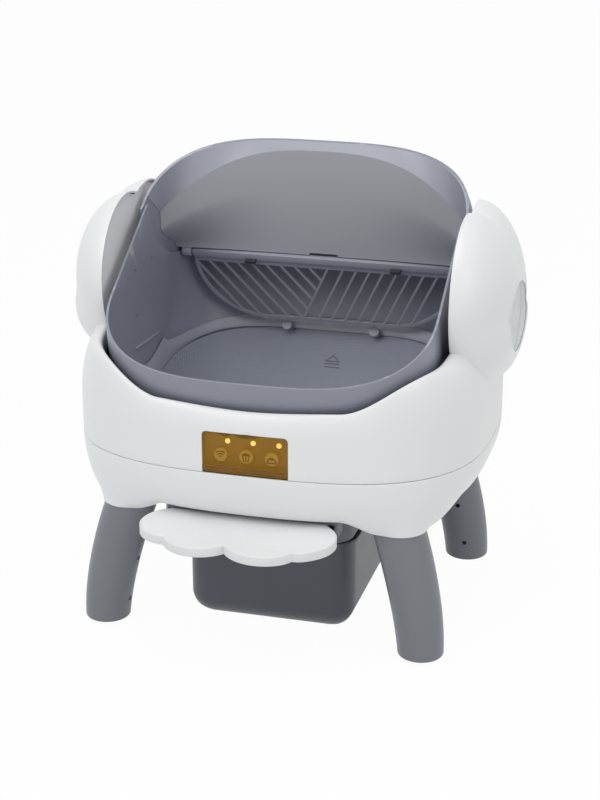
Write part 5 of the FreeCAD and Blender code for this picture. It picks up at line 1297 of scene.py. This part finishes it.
    def level_mark(self) -> Piece:
        """A raised arrowhead over two plain bars on the mat, which shows how high to fill."""
        rims = [(np.array(self.mark_head), np.array(self.mark_hollow))]
        for low, high in self.mark_bars:
            half = self.mark_half
            bar = np.array([[-half, low], [half, low], [half, high], [-half, high]])
            rims.append((bar, bar.mean(axis=0) + (bar - bar.mean(axis=0)) * self.bar_top))
        radius = self.bowl.crown - self.bowl_wall
        top = self.mark_raise
        parts = []
        for outer, inner in rims:
            layers = []
            for rim, depth in ((outer, 0.0), (outer, top), (inner, top), (inner, 0.0)):
                u = (rim[:, 0] + self.mark_x) / self.mat_half_width
                v = (self.mark_turn + np.degrees(rim[:, 1] / radius) - self.mat_middle) / self.mat_half_sweep
                layers.append(self.floor_point(u, v, self.mat_wall + depth))
            parts.append((np.array(layers), grid_faces(len(layers), len(outer), True, True).tolist()))
        return joined("level_mark", parts)

    def pivot(self, name: str, side: int) -> Piece:
        """The boss on the bowl's wall that holds one of the sieve's pins."""
        made = rod(name, *((side * x, *self.pivot_place) for x in self.pivot_x), self.pivot_radius)
        return self.pivot_edge.soften(made)

    def wall_rib(self, name: str, side: int) -> Piece:
        """The long low rib on the inner face of one end of the bowl."""
        x = side * (self.bowl.half_length - self.bowl_wall + self.rib_sink)
        ends = [(x, y, AXIS_Z + z) for y, z in zip(self.rib_y, self.rib_z)]
        return self.rib_edge.soften(rod(name, *ends, self.rib_radius, self.rib_sides))

    def build(self) -> None:
        """Make the drum's pieces and hand them to the frame."""
        dress(self.bowl_shell(), DRUM_GREY, "drum", "grey_plastic", "drum_bowl")
        dress(self.hood_shell(), DRUM_GREY, "drum", "grey_plastic", "drum_hood")
        # The liner, its band and the ledge take paler copies of the drum grey as painted light.
        dress(self.notched_dish(), LIT_LINER_GREY, "drum", "grey_plastic", "hood_liner")
        dress(self.liner_sheet("liner_band", 1.0, 2.0, rows=14), LIT_BAND_GREY, "drum", "grey_plastic")
        dress(self.mat(), MAT_BLUE, "drum", "mat_rubber", "litter_mat")
        # The ledge is bowl wall in a paler grey: painted light on its top.
        dress(self.ledge(), LIT_BAND_GREY, "drum", "grey_plastic")
        dress(self.level_mark(), MARK_GREY, "drum", "mat_rubber")
        for word, side in SIDES:
            dress(self.pivot(f"sieve_pivot_{word}", side), SIEVE_GREY, "drum", "grey_plastic")
            dress(self.wall_rib(f"wall_rib_{word}", side), DRUM_GREY, "drum", "grey_plastic")
        stops = self.stop_edge.soften(copied("rest_stops", "sieve_stops"))
        dress(stops, SIEVE_GREY, "drum", "dark_plastic", "sieve_stops")


# Smaller assemblies that keep their CAD form


@dataclass
class SieveFlap:
    """The slotted flap with its two clips."""

    edge: Edge = Edge(0.45)

    def build(self) -> None:
        """Round the flap's and the clips' edges and dress them."""
        kinds = (("slotted_flap", "sieve", SIEVE_GREY), ("flap_clips", "sieve_clips", DARK_GREY))
        for name, node, finish in kinds:
            piece = self.edge.soften(copied(name, node))
            dress(piece, finish, "sieve_flap", "dark_plastic", node, angle=BROAD_SHADING)


@dataclass
class StepAndBin:
    """The scalloped step and the pull-out waste bin, in millimetres."""

    step_edge: Edge = Edge(0.8)
    step_taper: float = 12.0
    taper_start: float = 62.0
    taper_run: float = 55.0
    bin_edge: Edge = Edge(0.7, 2, 50.0)
    roll: float = 36.0
    roll_steps: int = 9
    bin_middle: float = -14.0
    bin_half: float = 122.0
    bin_narrow: float = 0.955
    side_roll: float = 0.55

    def narrowed_step(self) -> Piece:
        """The CAD's tread with its last scallop drawn in, as the photograph shows it."""
        step = copied("scalloped_tread", "step_tread")
        for vertex in step.data.vertices:
            share = smooth_step(np.array((vertex.co.x / MM - self.taper_start) / self.taper_run))
            vertex.co.x -= self.step_taper * MM * float(share)
        return step

    def rolled_pail(self) -> Piece:
        """The CAD's bin, a little narrower, with its foot rolled in.

        Near the floor a point at height z moves in by R - sqrt(R^2 - (R - z)^2), the sagitta of a round of
        radius R, and by a share of that at the sides. The walls are first cut into levels, so that the round
        has points to show it.
        """
        pail = copied("waste_pail", "waste_bin")
        middle = AXIS_Y + self.bin_middle * MM
        with editing(pail) as body:
            for step in range(1, self.roll_steps):
                level = self.roll * (1 - math.sin(step / self.roll_steps * QUARTER))
                slice_body(body, Vector((0, 0, level * MM)), Vector((0, 0, 1)))
            for vertex in body.verts:
                low = max(self.roll - vertex.co.z / MM, 0.0)
                inset = self.roll - math.sqrt(max(self.roll**2 - low**2, 0.0))
                vertex.co.y = middle + (vertex.co.y - middle) * (1 - inset / self.bin_half)
                vertex.co.x *= self.bin_narrow * (1 - self.side_roll * inset / self.bin_half)
        return pail

    def build(self) -> None:
        """Round the step's and the bin's edges and dress them."""
        step = self.step_edge.soften(self.narrowed_step())
        dress(step, TREAD_WHITE, "step", "white_plastic", "step_tread", angle=ROUND_SHADING)
        pail = self.bin_edge.soften(self.rolled_pail())
        dress(pail, BIN_SLATE, "bin", "bin_plastic", "waste_bin", angle=ROUND_SHADING)


class Mark(Enum):
    """The plain pictures on the buttons, in the order of the buttons."""

    ARCS = "left"
    PAIL = "middle"
    HEAP = "right"


@dataclass
class ControlPanel:
    """The amber cover, the fascia, three buttons with plain pictures and their lights, in millimetres."""

    button_y: float = -226.0
    button_z: float = 273.0
    spacing: float = 32.6
    stroke: float = 1.5
    stroke_depth: float = 0.45
    stroke_lift: float = 0.3
    enlarged: float = 1.25
    groove_y: float = -227.7
    groove_z: float = 258.5
    groove_half: float = 53.0
    groove_radius: float = 1.1
    groove_sides: int = 24
    lug_x: tuple[float, float] = (50.0, 55.5)
    lug_drop: float = 3.0
    lug_radius: float = 3.2
    hinge_y: float = -229.4
    hinge_z: float = 254.8
    hinge_half: float = 52.0
    hinge_radius: float = 1.5
    notch_x: float = 2.0
    notch_z: float = 307.0
    notch_radii: tuple[float, float, float] = (17.0, 14.0, 8.5)
    cover_edge: Edge = Edge(0.4)
    button_edge: Edge = Edge(0.4, 2, 30.0)
    groove_edge: Edge = Edge(0.3)
    lens_edge: Edge = Edge(0.8, 3)
    arc_radii: ClassVar[tuple] = (1.6, 4.2, 6.8)
    arc_turns: tuple[float, float] = (48.0, 132.0)
    arc_points: int = 15
    arc_drop: float = 3.0
    pail_lines: ClassVar[tuple] = (
        ((-3.2, 1.6), (-2.4, -4.4), (2.4, -4.4), (3.2, 1.6), (-3.2, 1.6)),
        ((-4.2, 2.8), (4.2, 2.8)),
        ((-1.2, 4.2), (1.2, 4.2)),
        ((0.0, 0.2), (0.0, -3.0)),
    )
    heap_lines: ClassVar[tuple] = (((-4.4, -3.6), (4.4, -3.6)), ((-1.6, -0.4), (0.2, 0.4), (1.8, -0.4)))
    heap_half: float = 4.4
    heap_height: float = 5.2
    heap_foot: float = 3.6
    heap_points: int = 17

    def strokes(self, mark: Mark) -> list[np.ndarray]:
        """The lines of a picture, as (x, z) points about the button's middle, in millimetres."""
        if mark is Mark.ARCS:
            turn = np.radians(np.linspace(*self.arc_turns, self.arc_points))
            arcs = [np.column_stack([r * np.cos(turn), r * np.sin(turn)]) for r in self.arc_radii]
            return [arc - np.array([0.0, self.arc_drop]) for arc in arcs]
        if mark is Mark.PAIL:
            return [np.array(line) for line in self.pail_lines]
        turn = np.linspace(0, math.pi, self.heap_points)
        height = self.heap_height * np.sin(turn) - self.heap_foot
        heap = np.column_stack([self.heap_half * np.cos(turn), height])
        return [heap, *(np.array(line) for line in self.heap_lines)]

    def ribbon(self, line: np.ndarray) -> tuple[np.ndarray, list]:
        """A flat bar along a line: each point moved half a stroke to both sides, in two layers."""
        step = np.gradient(line, axis=0)
        step /= np.linalg.norm(step, axis=1, keepdims=True)
        side = np.column_stack([-step[:, 1], step[:, 0]]) * self.stroke / 2
        ring = np.stack([line + side, line - side, line - side, line + side], axis=1)
        depth = np.array([0.0, 0.0, self.stroke_depth, self.stroke_depth])[None, :] * np.ones((len(line), 1))
        last = 4 * (len(line) - 1)
        ends = [[start, start + 1, start + 2, start + 3] for start in (0, last)]
        faces = grid_faces(len(line), 4, ring_columns=True).tolist() + ends
        return np.stack([ring[..., 0], depth, ring[..., 1]], axis=-1), faces

    def picture(self, name: str, mark: Mark, x: float) -> Piece:
        """A raised picture on the face of the button whose middle is at x."""
        middle = np.array([x, self.button_y - self.stroke_lift, self.button_z])
        ribbons = [self.ribbon(line * self.enlarged) for line in self.strokes(mark)]
        return joined(name, [(points + middle, faces) for points, faces in ribbons])

    def groove(self) -> Piece:
        """A dark rod that stands for the painted shade in the fascia's lower groove, with a round lug at each end.
        """
        ends = [(side * self.groove_half, self.groove_y, self.groove_z) for side in (-1, 1)]
        made = rod("fascia_groove_shade", *ends, self.groove_radius, self.groove_sides)
        for side in (-1, 1):
            ends = [(side * x, self.groove_y, self.groove_z - self.lug_drop) for x in self.lug_x]
            carve(made, rod("lug_tool", *ends, self.lug_radius), Cut.JOIN)
        return self.groove_edge.soften(made)

    def build(self) -> None:
        """Dress the cover and the buttons, put a picture on each button, and add the hinge and the lights."""
        cover = copied("amber_flap", "panel_cover")
        carve(cover, egg("thumb_tool", (self.notch_x, self.hinge_y, self.notch_z), self.notch_radii))
        cover = self.cover_edge.soften(cover)
        dress(cover, AMBER, "cover", "amber_plastic", "panel_cover", angle=ROUND_SHADING)
        for place, mark in enumerate(Mark, start=-1):
            node = f"button_{mark.value}"
            cap = self.button_edge.soften(copied(f"push_cap_{mark.value}", node))
            dress(cap, BUTTON, node, "button_plastic", node, angle=ROUND_SHADING)
            picture = self.picture(f"picture_{mark.value}", mark, place * self.spacing)
            dress(picture, ICON, node, "button_plastic", angle=0.0)
        # A real hinge pin, painted dark brown as the shade in the hinge gap.
        ends = [(side * self.hinge_half, self.hinge_y, self.hinge_z) for side in (-1, 1)]
        pin = self.cover_edge.soften(rod("hinge_pin", *ends, self.hinge_radius))
        dress(pin, SHADE_BROWN, "cover", "amber_plastic")
        # The fascia groove and its lugs: a dark rod of painted shade.
        dress(self.groove(), SHADE_BROWN, "base", "fascia_plastic")
        lights = self.lens_edge.soften(copied("lamp_lenses", "indicator_lights"))
        dress(lights, LENS, "base", "light_plastic", "indicator_lights", angle=ROUND_SHADING)


def dress_frame() -> None:
    """Give every CAD node that still shows the finish of its material slot."""
    special = {"drum_cradle": CRADLE_GREY, "step_sleeve": CRADLE_GREY}
    for item in frame["record"]["subparts"]:
        node = frame["nodes"][item["node"]]
        if node.hide_render:
            continue
        finish = special.get(item["node"], SLOT_FINISHES[item["material_slot"]])
        if not node.material_slots:
            node.data.materials.append(finish.material())
        for slot in node.material_slots:
            slot.material = finish.material()


# The studio


@dataclass
class Studio:
    """A pale floor, soft lamps and the photograph's camera, in metres, degrees and watts."""

    camera_place: tuple[float, float, float] = (0.6107, -2.1426, 1.0894)
    camera_turn: float = 15.47
    camera_drop: float = 19.89
    lens: float = 81.45
    floor_reach: float = 9.0
    floor_grey: float = 0.9
    floor_white: float = 0.965
    surround_light: float = 0.48
    aim: tuple[float, float, float] = (0.0, 0.0, 0.33)
    lamps: ClassVar[tuple] = (
        ("key", (-1.3, -1.9, 2.2), 1.4, 20.0),
        ("top", (0.2, -0.5, 2.6), 1.6, 17.0),
        ("fill", (2.3, -1.2, 1.3), 1.4, 9.0),
    )

    @staticmethod
    def placed(name: str, data: bpy.types.ID) -> Piece:
        """A new object in the scene."""
        item = bpy.data.objects.new(name, data)
        bpy.context.scene.collection.objects.link(item)
        return item

    def camera(self) -> None:
        """Put the camera where the photograph was taken from."""
        data = bpy.data.cameras.new("camera")
        data.lens = self.lens
        data.sensor_width = 36.0
        data.sensor_fit = "AUTO"
        data.clip_end = 50.0
        item = self.placed("camera", data)
        item.location = self.camera_place
        item.rotation_euler = (math.radians(90 - self.camera_drop), 0.0, math.radians(self.camera_turn))
        bpy.context.scene.camera = item

    @staticmethod
    def seen_directly(tree: Tree) -> Socket:
        """1 for camera, glossy and transmission rays, and 0 for the rays that carry light."""
        path = add_node(tree, "ShaderNodeLightPath").outputs
        either = arithmetic(tree, "MAXIMUM", path["Is Camera Ray"], path["Is Glossy Ray"])
        return arithmetic(tree, "MAXIMUM", either, path["Is Transmission Ray"])

    def world(self) -> None:
        """A white surround that lights at a plain level and shows as white."""
        world = bpy.data.worlds.new("surround")
        world.use_nodes = True
        tree = world.node_tree
        background = tree.nodes["Background"].inputs
        background["Color"].default_value = (1.0, 1.0, 1.0, 1.0)
        more = arithmetic(tree, "MULTIPLY", self.seen_directly(tree), 1.0 - self.surround_light)
        feed(tree, background["Strength"], arithmetic(tree, "ADD", more, self.surround_light))
        bpy.context.scene.world = world

    def floor(self) -> None:
        """A wide pale floor that keeps the object's shadow."""
        mesh = bpy.data.meshes.new("floor")
        reach = self.floor_reach
        corners = [(-reach, -reach, 0.0), (reach, -reach, 0.0), (reach, reach, 0.0), (-reach, reach, 0.0)]
        mesh.from_pydata(corners, [], [(0, 1, 2, 3)])
        item = self.placed("floor", mesh)
        paint = bpy.data.materials.new("floor")
        paint.use_nodes = True
        tree = paint.node_tree
        tree.nodes.remove(tree.nodes["Principled BSDF"])
        grey = (self.floor_grey, self.floor_grey, self.floor_grey, 1.0)
        mix = tree.nodes.new("ShaderNodeMixShader")
        sources = (
            arithmetic(tree, "MULTIPLY", self.seen_directly(tree), self.floor_white),
            add_node(tree, "ShaderNodeBsdfDiffuse", Color=grey).outputs[0],
            add_node(tree, "ShaderNodeEmission", Color=(1.0, 1.0, 1.0, 1.0), Strength=1.0).outputs[0],
        )
        for socket, source in zip(mix.inputs, sources):
            tree.links.new(source, socket)
        tree.links.new(mix.outputs[0], tree.nodes["Material Output"].inputs["Surface"])
        mesh.materials.append(paint)

    def lamp(self, name: str, place: tuple, size: float, power: float) -> None:
        """A square soft lamp that shines at the object's middle."""
        data = bpy.data.lights.new(name, "AREA")
        data.shape = "SQUARE"
        data.size = size
        data.energy = power
        item = self.placed(name, data)
        item.location = place
        item.rotation_euler = (Vector(self.aim) - Vector(place)).to_track_quat("-Z", "Y").to_euler()

    def build(self) -> None:
        """Set up the camera, the floor and the light."""
        self.camera()
        self.world()
        self.floor()
        for lamp in self.lamps:
            self.lamp(*lamp)
        bpy.context.scene.view_settings.view_transform = "Standard"


def main() -> None:
    """Build the studio and each sub-assembly in turn."""
    logging.basicConfig(level=logging.INFO, format="%(message)s")
    for kind in (Studio, BaseHousing, Cradle, SidePods, Legs, Drum, SieveFlap, StepAndBin, ControlPanel):
        kind().build()
        LOG.info("%s done", kind.__name__)
    dress_frame()


if __name__ == "__main__":
    main()
